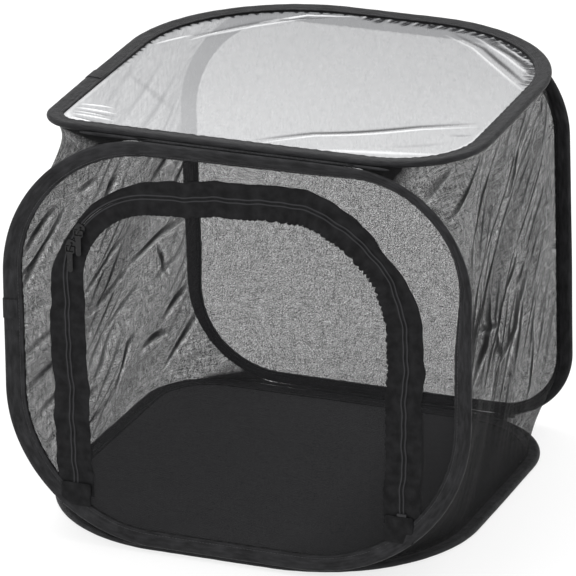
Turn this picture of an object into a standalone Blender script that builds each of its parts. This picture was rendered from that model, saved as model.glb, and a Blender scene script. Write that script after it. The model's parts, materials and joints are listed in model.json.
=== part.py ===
"""Pop-up mesh insect cage, about 40 cm cube: four sprung hoops in binding tape, net
panels, a clear window on top, a cloth floor and an arched zip door with two sliders.

Metres, +Z up, front towards -Y. The origin is in the middle of the face it stands on.
"""
import math

import bmesh
import bpy
from mathutils import Matrix, Vector

# Frame
HALF_DEPTH = 0.1907         # hinge line to the middle, front and back
PANEL_HEIGHT = 0.380        # front and back panels, rim to rim
SIDE_BULGE = 0.0067         # share by which a panel's sides bow out
CORNER_STEPS = 8            # straight runs in each round corner
TAPE_SMOOTH = 25.0          # degrees; sharper edges of the tape stay sharp
SMOOTH = 40.0

# Each panel's half width, its four corner radii (low is the bottom or front edge, high the
# top or back edge), how far it sits to the side, and how far its high edge leans aside
PANEL_SHAPES = {
    "front": dict(half_width=0.2153, low_left=0.135, low_right=0.155,
                  high_left=0.138, high_right=0.109, offset=0.000, sway=-0.0010),
    "back": dict(half_width=0.1907, low_left=0.090, low_right=0.070,
                 high_left=0.117, high_right=0.094, offset=-0.0054, sway=-0.0059),
    "top": dict(half_width=0.1939, low_left=0.034, low_right=0.084,
                high_left=0.156, high_right=0.149, offset=0.0093, sway=0.0010),
    "base": dict(half_width=0.1985, low_left=0.143, low_right=0.140,
                 high_left=0.063, high_right=0.093, offset=-0.0182, sway=0.0071),
}

# Binding tape, folded in a U over the hoop and the panel's edge
TAPE_WIDTH = 0.0150
BINDING_THICKNESS = 0.0056  # over the hoop
TAPE_WALL = 0.0010          # at the rim
CHANNEL_DEPTH = 0.0052      # from the rim to where the lips close on the panel
CHANNEL_HALF = 0.0017       # half the height inside the channel
MOUTH_HALF = 0.0007         # half the gap between the lips
LIP_WALL = 0.0010
RIM_CHAMFER = 0.0010
LAP_LENGTH = 0.018
LAP_WALL = 0.0007
LAP_HEIGHTS = {"front": 0.020, "top": -0.062, "back": 0.050}

# Spring-steel hoops
WIRE_RADIUS = 0.0010
WIRE_SIDES = 6
FERRULE_LENGTH = 0.014
FERRULE_RADIUS = 0.0015
FERRULE_PLAY = 0.0001
FERRULE_SIDES = 12
WIRE_END_GAP = 0.0008

# Sheets
NET_THICKNESS = 0.0005
FILM_THICKNESS = 0.0004
FLOOR_THICKNESS = 0.0008
PANEL_TUCK = 0.0075         # how far a panel's edge lies in from the rim

# Fold seams, the stitched beads that join two bindings edge to edge
SEAM_RADIUS = 0.0008
SEAM_SHORTFALL = 0.006      # from a seam's end to where the side net's corner is
SEAM_SIDES = 8
SEAM_SETBACK = 0.00028      # each binding's corner, in from the hinge line

# Zip
ARCH_SIDE_MARGIN = 0.0593   # from the line where the two tapes meet to the rim
ARCH_TOP_MARGIN = 0.0404
ARCH_LEFT_DROP = 0.0092     # how much lower its left shoulder is than its right one
ARCH_LEFT_LEAN = 0.0075     # how far each leg's foot is nearer the middle
ARCH_RIGHT_LEAN = 0.0030
ARCH_LEFT_RADIUS = 0.085
ARCH_RIGHT_RADIUS = 0.114
ARCH_STEPS = 10
ZIP_TAPE_WIDTH = 0.0165
ZIP_TAPE_THICKNESS = 0.0008
GROOVE_HALF = 0.00045       # half the gap between the tapes
CHAIN_WIDTH = 0.0026
CHAIN_THICKNESS = 0.0020
PUCKER_LENGTH = 0.0090      # of each pucker along the inner tape's gathered edge
PUCKER_DEPTH = 0.0006       # from its middle line to its crests
PUCKER_STEPS = 4
NET_LAP = 0.0065            # how far the nets reach under the zip tapes
DOOR_HINGE_HEIGHT = 0.078
ZIP_END_LEFT = 0.0585
ZIP_END_RIGHT = 0.0745
TAB_WIDTH = 0.030
TAB_THICKNESS = 0.0008
TAB_CORNER = 0.0015         # height of its outer edge, where the binding cuts it short
STOP_WIDTH = 0.0085
STOP_HEIGHT = 0.0024
STOP_THICKNESS = 0.0012

# Sliders
SLIDER_LENGTH = 0.0130
SLIDER_WIDTH = 0.0090
SLIDER_PLATE = 0.0012
SLIDER_BACK_PLATE = 0.0010
SLIDER_BACK_WIDTH = 0.0040
SLIDER_BACK_LENGTH = 0.0110
SLIDER_BACK_NOSE = 0.0090
SLIDER_ROUNDNESS = 0.6      # power of an ellipse's sine and cosine; 1 is an ellipse
SLIDER_TAPER = 0.22         # share by which the nose is narrower
SLIDER_STEPS = 20
SLIDER_WEB = 0.0003
SLIDER_WEB_LENGTH = 0.0050
UPPER_SLIDER_ANGLE = math.radians(33.0)
LOWER_SLIDER_ANGLE = math.radians(21.0)
BAIL_LENGTH = 0.0080
BAIL_WIDTH = 0.0016
BAIL_HEIGHT = 0.0027
BAIL_WALL = 0.0010
BAIL_ROOT = 0.0005          # how deep its feet go into the plate
BAIL_ROUNDNESS = 0.7
BAIL_STEPS = 8
PULL_LENGTH = 0.0260
PULL_THICKNESS = 0.0009
PULL_HEAD_WIDTH = 0.0088
PULL_TIP_WIDTH = 0.0050
PULL_EYE_WIDTH = 0.0068
PULL_EYE_HEIGHT = 0.0042
PULL_BAR = 0.0009
PULL_TIP_STEPS = 8

# Side nets
SIDE_NET_INSET = 0.0006     # from the hinge planes
SIDE_NET_TUCK = 0.0030      # inside the bindings' rims
SIDE_NET_CELLS = 24
SIDE_NET_SAG = 0.010
RIM_PULL = 1.5              # power with which a nearer rim has more hold on the net
SLACK_SPREAD = 0.6          # below 1 the sag and folds reach closer to the rims
FOLD_DEPTH = 0.0045
FOLD_LEAN_LEFT = 0.45       # how far the folds lean along the depth, to each side
FOLD_LEAN_RIGHT = -0.55
FOLD_STEEPNESS = 0.75
WIDE_FOLD = dict(share=0.55, rate=21.0, twist=0.0, start=1.3)
FINE_FOLD = dict(share=0.45, rate=39.0, twist=4.0, start=0.0)

GAP = 0.0003                # between pieces that touch

# How far in from the rim the hoops' wires lie
WIRE_INSET = TAPE_WALL + GAP + FERRULE_RADIUS

# Heights of the hinge lines
HINGE_LOW = BINDING_THICKNESS + SEAM_SETBACK
HINGE_HIGH = HINGE_LOW + PANEL_HEIGHT + 2 * SEAM_SETBACK
PANEL_MIDDLE = (HINGE_LOW + HINGE_HIGH) / 2
UPRIGHT_OFFSET = HALF_DEPTH + SEAM_SETBACK + BINDING_THICKNESS / 2

# The zip's line
ARCH_HALF_WIDTH = PANEL_SHAPES["front"]["half_width"] - ARCH_SIDE_MARGIN
ARCH_TOP = PANEL_MIDDLE + PANEL_HEIGHT / 2 - ARCH_TOP_MARGIN

# Layers of the front panel, along Y from its middle, outwards negative
TAPE_BACK = -(NET_THICKNESS / 2 + GAP)
TAPE_FACE = TAPE_BACK - ZIP_TAPE_THICKNESS
CHAIN_FRONT = TAPE_BACK + GAP
CHAIN_BACK = CHAIN_FRONT + CHAIN_THICKNESS
TAB_BACK = TAPE_FACE - GAP
SLIDER_PLATE_BACK = TAPE_FACE - GAP
SLIDER_PLATE_FACE = SLIDER_PLATE_BACK - SLIDER_PLATE
FRONT_Y = -UPRIGHT_OFFSET


def clear_scene():
    for old in list(bpy.data.objects):
        bpy.data.objects.remove(old, do_unlink=True)


def make_material(name, colour, roughness, metallic=0.0, alpha=1.0):
    material = bpy.data.materials.new(name)
    material.use_nodes = True
    shader = material.node_tree.nodes["Principled BSDF"]
    shader.inputs["Base Color"].default_value = (*colour, 1.0)
    shader.inputs["Roughness"].default_value = roughness
    shader.inputs["Metallic"].default_value = metallic
    shader.inputs["Alpha"].default_value = alpha
    return material


def make_pivot(name, location, parent=None):
    """An empty on a joint's axis, given in world metres."""
    pivot = bpy.data.objects.new(name, None)
    pivot.empty_display_size = 0.02
    start = parent["world"] if parent else (0.0, 0.0, 0.0)
    pivot.location = Vector(location) - Vector(start)
    pivot["world"] = tuple(location)
    if parent:
        pivot.parent = parent
    bpy.context.collection.objects.link(pivot)
    return pivot


def add_piece(name, mesh_data, material, pivot, smooth_angle=SMOOTH):
    """Turns a bmesh in world metres into an object that hangs on its pivot."""
    bmesh.ops.recalc_face_normals(mesh_data, faces=mesh_data.faces)
    start = Vector(pivot["world"])
    bmesh.ops.translate(mesh_data, verts=mesh_data.verts, vec=-start)
    mesh = bpy.data.meshes.new(name)
    mesh_data.to_mesh(mesh)
    mesh_data.free()
    mesh.shade_smooth()
    mesh.set_sharp_from_angle(angle=math.radians(smooth_angle))
    piece = bpy.data.objects.new(name, mesh)
    piece.data.materials.append(material)
    piece.parent = pivot
    bpy.context.collection.objects.link(piece)
    return piece


def outline(panel, inset, steps=CORNER_STEPS):
    """A panel's outline in its own plane, as (across, up) points from the left side's
    middle, clockwise, drawn in from the rim by inset."""
    shape = PANEL_SHAPES[panel]
    half_w = shape["half_width"]
    half_h = half_height(panel)
    w = half_w - inset
    h = half_h - inset
    corners = [
        ((-w, 0.0), -1, 1, 180.0),
        ((0.0, h), 1, 1, 90.0),
        ((w, 0.0), 1, -1, 0.0),
        ((0.0, -h), -1, -1, -90.0),
    ]
    points = []
    for side_middle, side, edge, start in corners:
        radius = corner_radius(panel, side, edge) - inset
        centre = (side * (w - radius), edge * (h - radius))
        points.append(side_middle)
        for step in range(steps + 1):
            angle = math.radians(start - 90.0 * step / steps)
            points.append((centre[0] + radius * math.cos(angle),
                           centre[1] + radius * math.sin(angle)))
    return [shaped(shape, half_w, half_h, x, y) for x, y in points]


def corner_radius(panel, side, edge):
    """Radius at a panel's left (-1) or right corner on its low (-1) or high edge."""
    return PANEL_SHAPES[panel][("low" if edge < 0 else "high")
                               + ("_left" if side < 0 else "_right")]


def shaped(shape, half_w, half_h, x, y):
    """Bows a panel's sides out and leans it to the side."""
    across = x * (1 - SIDE_BULGE * (y / half_h) ** 2)
    up = y * (1 - SIDE_BULGE * (x / half_w) ** 2)
    return (across + shape["sway"] * y / half_h + shape["offset"], up)


def half_height(panel):
    if panel in ("front", "back"):
        return PANEL_HEIGHT / 2
    return HALF_DEPTH - SEAM_SETBACK


def in_panel(panel, across, up, inward):
    """World point from a panel's own plane; inward points into the cage."""
    if panel == "front":
        return Vector((across, -UPRIGHT_OFFSET + inward, PANEL_MIDDLE + up))
    if panel == "back":
        return Vector((across, UPRIGHT_OFFSET - inward, PANEL_MIDDLE + up))
    if panel == "base":
        return Vector((across, up, BINDING_THICKNESS / 2 + inward))
    top_middle = HINGE_HIGH + SEAM_SETBACK + BINDING_THICKNESS / 2
    return Vector((across, up, top_middle - inward))


def sweep(rings, closed_path=True):
    """Skins rings of points into one closed body; an open path gets end caps."""
    mesh_data = bmesh.new()
    rows = [[mesh_data.verts.new(p) for p in ring] for ring in rings]
    count = len(rows)
    around = len(rows[0])
    last = count if closed_path else count - 1
    for i in range(last):
        here = rows[i]
        there = rows[(i + 1) % count]
        for j in range(around):
            k = (j + 1) % around
            mesh_data.faces.new((here[j], here[k], there[k], there[j]))
    if not closed_path:
        mesh_data.faces.new(rows[0])
        mesh_data.faces.new(rows[-1])
    return mesh_data


def panel_sweep(panel, section):
    """Sweeps a section of (inset, inward) points round a panel's rim."""
    paths = [outline(panel, inset) for inset, _ in section]
    rings = []
    for i in range(len(paths[0])):
        rings.append([in_panel(panel, *paths[j][i], section[j][1])
                      for j in range(len(section))])
    return sweep(rings)


def binding_section():
    """The folded tape: a channel round the hoop, closing to a narrow mouth."""
    half = BINDING_THICKNESS / 2
    mouth_face = MOUTH_HALF + LIP_WALL
    upper = [
        (RIM_CHAMFER, half),
        (CHANNEL_DEPTH, half),
        (TAPE_WIDTH, mouth_face),
        (TAPE_WIDTH, MOUTH_HALF),
        (CHANNEL_DEPTH + RIM_CHAMFER, MOUTH_HALF),
        (CHANNEL_DEPTH - RIM_CHAMFER / 2, CHANNEL_HALF),
        (TAPE_WALL, CHANNEL_HALF),
    ]
    lower = [(inset, -inward) for inset, inward in reversed(upper)]
    rim = [(0.0, -half + RIM_CHAMFER), (0.0, half - RIM_CHAMFER)]
    return upper + lower + rim


def make_wire(panel):
    """The hoop: a round wire whose two ends meet in a ferrule at the left side."""
    inner = outline(panel, WIRE_INSET + WIRE_RADIUS)
    outer = outline(panel, WIRE_INSET - WIRE_RADIUS)
    rings = []
    for i in range(len(inner) + 1):
        k = i % len(inner)
        middle = [(inner[k][n] + outer[k][n]) / 2 for n in (0, 1)]
        reach = [(outer[k][n] - inner[k][n]) / 2 for n in (0, 1)]
        if i == 0:
            middle[1] += WIRE_END_GAP / 2
        if i == len(inner):
            middle[1] -= WIRE_END_GAP / 2
        ring = []
        for side in range(WIRE_SIDES):
            turn = 2 * math.pi * side / WIRE_SIDES
            ring.append(in_panel(panel, middle[0] + reach[0] * math.cos(turn),
                                 middle[1] + reach[1] * math.cos(turn),
                                 WIRE_RADIUS * math.sin(turn)))
        rings.append(ring)
    return sweep(rings, closed_path=False)


def make_ferrule(panel):
    """A sleeve crimped over the wire's ends, with its bore open at both ends."""
    shape = PANEL_SHAPES[panel]
    half_w = shape["half_width"]
    half_h = half_height(panel)
    section = [(FERRULE_RADIUS, -0.5), (FERRULE_RADIUS, 0.5),
               (WIRE_RADIUS + FERRULE_PLAY, 0.5), (WIRE_RADIUS + FERRULE_PLAY, -0.5)]
    rings = []
    for side in range(FERRULE_SIDES):
        turn = 2 * math.pi * side / FERRULE_SIDES
        ring = []
        for radius, end in section:
            up = end * FERRULE_LENGTH
            across, up = shaped(shape, half_w, half_h, -half_w + WIRE_INSET, up)
            ring.append(in_panel(panel, across + radius * math.cos(turn), up,
                                 radius * math.sin(turn)))
        rings.append(ring)
    return sweep(rings)


def make_lap(panel, height):
    """The end of the binding tape, turned over its start on the left side."""
    shape = PANEL_SHAPES[panel]
    half_w = shape["half_width"]
    half_h = half_height(panel)
    half = BINDING_THICKNESS / 2
    mouth_face = MOUTH_HALF + LIP_WALL
    near = [(TAPE_WIDTH, -mouth_face - GAP), (CHANNEL_DEPTH, -half - GAP),
            (RIM_CHAMFER - GAP, -half - GAP), (-GAP, -half + RIM_CHAMFER - GAP),
            (-GAP, half - RIM_CHAMFER)]
    wall = LAP_WALL
    far = [(-GAP - wall, half - RIM_CHAMFER), (-GAP - wall, -half + RIM_CHAMFER - wall),
           (RIM_CHAMFER - wall, -half - GAP - wall), (CHANNEL_DEPTH, -half - GAP - wall),
           (TAPE_WIDTH, -mouth_face - GAP - wall)]
    rings = []
    for end in (-0.5, 0.0, 0.5):
        ring = []
        for inset, inward in near + far:
            across, up = shaped(shape, half_w, half_h, -half_w + inset,
                                height + end * LAP_LENGTH)
            ring.append(in_panel(panel, across, up, inward))
        rings.append(ring)
    return sweep(rings, closed_path=False)


def plate(points, front, back):
    """Extrudes a flat outline of (x, z) points along Y, as one closed body."""
    mesh_data = bmesh.new()
    face = mesh_data.faces.new([mesh_data.verts.new((x, front, z)) for x, z in points])
    moved = bmesh.ops.extrude_face_region(mesh_data, geom=[face])
    verts = [v for v in moved["geom"] if isinstance(v, bmesh.types.BMVert)]
    bmesh.ops.translate(mesh_data, verts=verts, vec=(0.0, back - front, 0.0))
    return mesh_data


def sheet_with_hole(rim, hole, front, back):
    """Extrudes the flat region between two outlines of (x, z) points along Y."""
    mesh_data = bmesh.new()
    edges = []
    for loop in (rim, hole):
        verts = [mesh_data.verts.new((x, front, z)) for x, z in loop]
        for i, vert in enumerate(verts):
            edges.append(mesh_data.edges.new((vert, verts[(i + 1) % len(verts)])))
    bmesh.ops.triangle_fill(mesh_data, use_beauty=True, edges=edges)
    moved = bmesh.ops.extrude_face_region(mesh_data, geom=list(mesh_data.faces))
    verts = [v for v in moved["geom"] if isinstance(v, bmesh.types.BMVert)]
    bmesh.ops.translate(mesh_data, verts=verts, vec=(0.0, back - front, 0.0))
    return mesh_data


def make_sheet(panel, thickness):
    """A flat panel of net, film or cloth whose edge lies between the tape's lips."""
    rim = outline(panel, PANEL_TUCK)
    mesh_data = bmesh.new()
    rows = []
    for inward in (-thickness / 2, thickness / 2):
        rows.append([mesh_data.verts.new(in_panel(panel, x, y, inward)) for x, y in rim])
    mesh_data.faces.new(rows[0])
    mesh_data.faces.new(rows[1])
    for i in range(len(rim)):
        k = (i + 1) % len(rim)
        mesh_data.faces.new((rows[0][i], rows[0][k], rows[1][k], rows[1][i]))
    return mesh_data


def arch_corner(side):
    """Radius and centre (x, z) of the arc at the arch's left or right shoulder."""
    if side < 0:
        return (ARCH_LEFT_RADIUS, ARCH_LEFT_RADIUS - ARCH_HALF_WIDTH,
                ARCH_TOP - ARCH_LEFT_DROP - ARCH_LEFT_RADIUS)
    return (ARCH_RIGHT_RADIUS, ARCH_HALF_WIDTH - ARCH_RIGHT_RADIUS,
            ARCH_TOP - ARCH_RIGHT_RADIUS)


def arch_slope():
    """Degrees by which the arch's straight top rises to the right, touching both arcs."""
    left_radius, left_x, left_z = arch_corner(-1)
    right_radius, right_x, right_z = arch_corner(1)
    apart = math.hypot(right_x - left_x, right_z - left_z)
    return math.degrees(math.atan2(right_z - left_z, right_x - left_x)
                        + math.asin((right_radius - left_radius) / apart))


def leg_line(side, height):
    """How far to a side the zip's line is, on its straight leg, at a height."""
    lean = ARCH_LEFT_LEAN if side < 0 else ARCH_RIGHT_LEAN
    spring = arch_corner(side)[2]
    return ARCH_HALF_WIDTH - lean * max(spring - height, 0.0) / spring


def arch(offset, left_foot, right_foot):
    """The door's arch as (x, z) points from the left foot over to the right one, drawn
    out from the line where the tapes meet by offset."""
    points = [(-leg_line(-1, left_foot) - offset, left_foot)]
    shoulder = 90.0 - arch_slope()
    for side, start, end in ((-1, 0.0, shoulder), (1, shoulder, 180.0)):
        radius, centre_x, centre_z = arch_corner(side)
        for step in range(ARCH_STEPS + 1):
            angle = math.radians(start + (end - start) * step / ARCH_STEPS)
            reach = radius + offset
            points.append((centre_x - reach * math.cos(angle),
                           centre_z + reach * math.sin(angle)))
    points.append((leg_line(1, right_foot) + offset, right_foot))
    return points


def binding_edge(x):
    """Height of the front binding's inner edge above the bottom, at a place across."""
    lower = [p for p in outline("front", TAPE_WIDTH + 2 * GAP) if p[1] < 0]
    lower.sort()
    for here, there in zip(lower, lower[1:]):
        if here[0] <= x <= there[0]:
            share = (x - here[0]) / (there[0] - here[0])
            return PANEL_MIDDLE + here[1] + share * (there[1] - here[1])
    raise ValueError("no binding edge at that place")


def edge_reach(side, height):
    """How far to a side the front binding's inner edge is, at a height low down."""
    corner = [(PANEL_MIDDLE + up, abs(x)) for x, up in outline("front", TAPE_WIDTH + 2 * GAP)
              if up < 0 < side * x]
    corner.sort()
    for here, there in zip(corner, corner[1:]):
        if here[0] <= height <= there[0]:
            share = (height - here[0]) / (there[0] - here[0])
            return here[1] + share * (there[1] - here[1])
    raise ValueError("no binding edge at that height")


def leg_foot(x_from, x_to):
    """The front binding's inner edge between two places across, corner by corner."""
    low, high = sorted((x_from, x_to))
    places = [x for x, up in outline("front", TAPE_WIDTH + 2 * GAP)
              if up < 0 and low + GAP < x < high - GAP]
    places.sort(reverse=x_to < x_from)
    return [(x, binding_edge(x)) for x in [x_from] + places + [x_to]]


def make_outer_tape():
    """The fixed half of the zip tape; below the door's hinge it has both widths."""
    reach = GROOVE_HALF + ZIP_TAPE_WIDTH
    sill = DOOR_HINGE_HEIGHT - GAP
    inside = arch(GROOVE_HALF, sill, sill)
    left, right = leg_line(-1, sill), leg_line(1, sill)
    low_left, low_right = leg_line(-1, ZIP_END_LEFT), leg_line(1, ZIP_END_RIGHT)
    points = arch(reach, sill, sill) + leg_foot(low_right + reach, low_right - reach)
    points += [(right - reach, sill)] + list(reversed(inside)) + [(reach - left, sill)]
    points += leg_foot(reach - low_left, -low_left - reach)
    return plate(points, FRONT_Y + TAPE_FACE, FRONT_Y + TAPE_BACK)


def make_outer_chain():
    """The fixed row of teeth, behind the tape; below the hinge both rows are closed."""
    sill = DOOR_HINGE_HEIGHT - GAP
    reach = GROOVE_HALF + CHAIN_WIDTH
    inside = arch(GROOVE_HALF, sill, sill)
    points = arch(reach, ZIP_END_LEFT, ZIP_END_RIGHT)
    points += [(leg_line(1, ZIP_END_RIGHT) - reach, ZIP_END_RIGHT),
               (leg_line(1, sill) - reach, sill)]
    points += list(reversed(inside))
    points += [(reach - leg_line(-1, sill), sill),
               (reach - leg_line(-1, ZIP_END_LEFT), ZIP_END_LEFT)]
    return plate(points, FRONT_Y + CHAIN_FRONT, FRONT_Y + CHAIN_BACK)


def make_inner_band(width, front, back, puckered=False):
    """The door's half of the zip, tape or teeth, over the whole arch."""
    foot = DOOR_HINGE_HEIGHT + GAP
    outside = arch(-GROOVE_HALF, foot, foot)
    inside = arch(-GROOVE_HALF - width, foot, foot)
    if puckered:
        inside = pucker(inside)
    return plate(outside + list(reversed(inside)), FRONT_Y + front, FRONT_Y + back)


def pucker(line):
    """Draws a line of (x, z) points into even waves, as an edge that is gathered."""
    lengths = [math.dist(here, there) for here, there in zip(line, line[1:])]
    waves = round(sum(lengths) / PUCKER_LENGTH)
    pace = sum(lengths) / (waves * PUCKER_STEPS)
    points = [line[0]]
    run = 0.0
    for here, there, length in zip(line, line[1:], lengths):
        way = ((there[0] - here[0]) / length, (there[1] - here[1]) / length)
        first = math.floor(run / pace) + 1
        last = math.ceil((run + length) / pace) - 1
        for step in range(first, last + 1):
            share = (step * pace - run) / length
            out = PUCKER_DEPTH * math.sin(2 * math.pi * (step + 0.5) / PUCKER_STEPS)
            points.append((here[0] + share * (there[0] - here[0]) - way[1] * out,
                           here[1] + share * (there[1] - here[1]) + way[0] * out))
        run += length
    return points + [line[-1]]


def make_front_net():
    """The front panel's net, with the door's arch and the zip's feet cut out."""
    rim = [(x, PANEL_MIDDLE + z) for x, z in outline("front", PANEL_TUCK)]
    reach = GROOVE_HALF + ZIP_TAPE_WIDTH - NET_LAP
    sill = DOOR_HINGE_HEIGHT - GAP
    low_left = ZIP_END_LEFT - GAP
    low_right = ZIP_END_RIGHT - GAP
    hole = arch(reach, low_left, low_right)
    hole += [(leg_line(1, low_right) - reach, low_right), (leg_line(1, sill) - reach, sill),
             (reach - leg_line(-1, sill), sill),
             (reach - leg_line(-1, low_left), low_left)]
    half = NET_THICKNESS / 2
    return sheet_with_hole(rim, hole, FRONT_Y - half, FRONT_Y + half)


def make_door_net():
    reach = GROOVE_HALF + ZIP_TAPE_WIDTH - NET_LAP
    foot = DOOR_HINGE_HEIGHT + GAP
    half = NET_THICKNESS / 2
    return plate(arch(-reach, foot, foot), FRONT_Y - half, FRONT_Y + half)


def make_tab(side, top):
    """Cloth tab sewn over the zip's lower end, down to the binding."""
    half = TAB_WIDTH / 2
    middle = leg_line(side, top)
    inner = side * (middle - half)
    outer = side * min(middle + half, edge_reach(side, top - TAB_CORNER))
    points = [(inner, top), (outer, top)] + leg_foot(outer, inner)
    back = FRONT_Y + TAB_BACK
    return plate(points, back - TAB_THICKNESS, back)


def make_end_stop():
    """Moulded bar across the teeth at the zip's right foot, in front of the tape."""
    half = STOP_WIDTH / 2
    low = ZIP_END_RIGHT - STOP_HEIGHT - GAP
    middle = leg_line(1, low)
    points = [(middle - half, low), (middle + half, low),
              (middle + half, low + STOP_HEIGHT), (middle - half, low + STOP_HEIGHT)]
    back = FRONT_Y + TAB_BACK
    return plate(points, back - STOP_THICKNESS, back)


def straight_ends(panel, edge):
    """Where a panel's low or high edge leaves the straight, left and right."""
    shape = PANEL_SHAPES[panel]
    middle = shape["offset"] + edge * shape["sway"]
    reach = shape["half_width"] - SIDE_NET_TUCK
    return (middle - reach + corner_radius(panel, -1, edge),
            middle + reach - corner_radius(panel, 1, edge))


def make_seam(upright, flat, y, z):
    """A stitched bead along a hinge line, joining an upright and a flat panel."""
    ends = zip(straight_ends(upright, 1 if flat == "top" else -1),
               straight_ends(flat, 1 if upright == "back" else -1))
    left, right = [(a + b) / 2 for a, b in ends]
    left += SEAM_SHORTFALL
    right -= SEAM_SHORTFALL
    mesh_data = bmesh.new()
    bmesh.ops.create_cone(mesh_data, cap_ends=True, segments=SEAM_SIDES,
                          radius1=SEAM_RADIUS, radius2=SEAM_RADIUS, depth=right - left)
    bmesh.ops.rotate(mesh_data, verts=mesh_data.verts,
                     matrix=Matrix.Rotation(math.pi / 2, 3, "Y"))
    bmesh.ops.translate(mesh_data, verts=mesh_data.verts, vec=((left + right) / 2, y, z))
    return mesh_data


def rim_reach(panel, side, edge, along):
    """How far out a panel's rim is at a distance along it from its low or high edge."""
    shape = PANEL_SHAPES[panel]
    half_w = shape["half_width"]
    half_h = half_height(panel)
    radius = corner_radius(panel, side, edge)
    along = min(max(along, 0.0), half_h)
    reach = half_w - SIDE_NET_TUCK
    if along < radius:
        reach -= radius - math.sqrt(radius ** 2 - (radius - along) ** 2)
    up = edge * (half_h - along)
    across, _ = shaped(shape, half_w, half_h, side * reach, up)
    return side * across


def side_net_point(side, y, z):
    """A point of a side net: drawn between the four rims, with its sag and folds."""
    to_front = y + HALF_DEPTH
    to_back = HALF_DEPTH - y
    to_base = z - HINGE_LOW
    to_top = HINGE_HIGH - z
    along = min(to_front, to_back) + min(to_base, to_top)
    lengthwise = 1 if to_back < to_front else -1
    upright = 1 if to_top < to_base else -1
    rims = (("front", upright, to_front), ("back", upright, to_back),
            ("base", lengthwise, to_base), ("top", lengthwise, to_top))
    total = 0.0
    reach = 0.0
    for panel, edge, distance in rims:
        weight = 1.0 / max(distance, 1e-5) ** RIM_PULL
        total += weight
        reach += weight * rim_reach(panel, side, edge, along)
    reach /= total
    across = (y + HALF_DEPTH) / (2 * HALF_DEPTH)
    rise = (z - HINGE_LOW) / (HINGE_HIGH - HINGE_LOW)
    slack = (16 * across * (1 - across) * rise * (1 - rise)) ** SLACK_SPREAD
    run = rise * FOLD_STEEPNESS + across * (FOLD_LEAN_RIGHT if side > 0 else FOLD_LEAN_LEFT)
    folds = 0.0
    for fold in (WIDE_FOLD, FINE_FOLD):
        phase = fold["rate"] * run + fold["twist"] * rise + fold["start"]
        folds += fold["share"] * math.sin(phase)
    reach -= slack * (SIDE_NET_SAG + FOLD_DEPTH * folds)
    return Vector((side * reach, y, z))


def make_side_net(side):
    """Loose net between the four rims, with its main folds, as a thin closed sheet."""
    half_y = HALF_DEPTH - SIDE_NET_INSET
    half_z = (HINGE_HIGH - HINGE_LOW) / 2 - SIDE_NET_INSET
    places = [-math.cos(math.pi * i / SIDE_NET_CELLS) for i in range(SIDE_NET_CELLS + 1)]
    grid = [[side_net_point(side, half_y * u, PANEL_MIDDLE + half_z * v) for u in places]
            for v in places]
    mesh_data = bmesh.new()
    layers = []
    for offset in (-0.5, 0.5):
        rows = []
        for i, row in enumerate(grid):
            rows.append([])
            for j, point in enumerate(row):
                along_y = row[min(j + 1, SIDE_NET_CELLS)] - row[max(j - 1, 0)]
                along_z = grid[min(i + 1, SIDE_NET_CELLS)][j] - grid[max(i - 1, 0)][j]
                normal = along_y.cross(along_z).normalized()
                shifted = point + normal * offset * NET_THICKNESS
                shifted.y = min(max(shifted.y, -half_y), half_y)
                rows[-1].append(mesh_data.verts.new(shifted))
        layers.append(rows)
    last = SIDE_NET_CELLS
    for rows in layers:
        for i in range(last):
            for j in range(last):
                mesh_data.faces.new((rows[i][j], rows[i][j + 1],
                                     rows[i + 1][j + 1], rows[i + 1][j]))
    border = [(0, j) for j in range(last)] + [(i, last) for i in range(last)]
    border += [(last, j) for j in range(last, 0, -1)] + [(i, 0) for i in range(last, 0, -1)]
    for n, (i, j) in enumerate(border):
        k, m = border[(n + 1) % len(border)]
        mesh_data.faces.new((layers[0][i][j], layers[0][k][m],
                             layers[1][k][m], layers[1][i][j]))
    return mesh_data


def slider_outline():
    """A slider plate's outline: broad shoulders and a narrower nose."""
    points = []
    for step in range(SLIDER_STEPS):
        turn = 2 * math.pi * step / SLIDER_STEPS
        along = math.copysign(abs(math.sin(turn)) ** SLIDER_ROUNDNESS, math.sin(turn))
        across = math.copysign(abs(math.cos(turn)) ** SLIDER_ROUNDNESS, math.cos(turn))
        taper = 1.0 - SLIDER_TAPER * max(-along, 0.0)
        points.append((across * taper * SLIDER_WIDTH / 2, along * SLIDER_LENGTH / 2))
    return points


def make_bail():
    """The arched loop on a slider's face, with an arched opening for the pull's bar."""
    outer = []
    inner = []
    for step in range(BAIL_STEPS + 1):
        turn = math.pi * step / BAIL_STEPS
        rise = max(math.sin(turn), 0.0) ** BAIL_ROUNDNESS
        outer.append((BAIL_LENGTH / 2 * math.cos(turn), BAIL_HEIGHT * rise))
        inner.append(((BAIL_LENGTH / 2 - BAIL_WALL) * math.cos(turn),
                      (BAIL_HEIGHT - BAIL_WALL) * rise))
    side_view = [(BAIL_LENGTH / 2, -BAIL_ROOT)] + outer + [(-BAIL_LENGTH / 2, -BAIL_ROOT)]
    side_view += [(-BAIL_LENGTH / 2 + BAIL_WALL, -BAIL_ROOT)] + list(reversed(inner))
    side_view += [(BAIL_LENGTH / 2 - BAIL_WALL, -BAIL_ROOT)]
    mesh_data = bmesh.new()
    face = mesh_data.faces.new([
        mesh_data.verts.new((-BAIL_WIDTH / 2, SLIDER_PLATE_FACE - out, along))
        for along, out in side_view])
    moved = bmesh.ops.extrude_face_region(mesh_data, geom=[face])
    verts = [v for v in moved["geom"] if isinstance(v, bmesh.types.BMVert)]
    bmesh.ops.translate(mesh_data, verts=verts, vec=(BAIL_WIDTH, 0.0, 0.0))
    return mesh_data


def arch_place(angle):
    """Where the zip's line is on the left corner's arc, as world (x, z)."""
    radius, centre_x, centre_z = arch_corner(-1)
    return (centre_x - radius * math.cos(angle), centre_z + radius * math.sin(angle))


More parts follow.
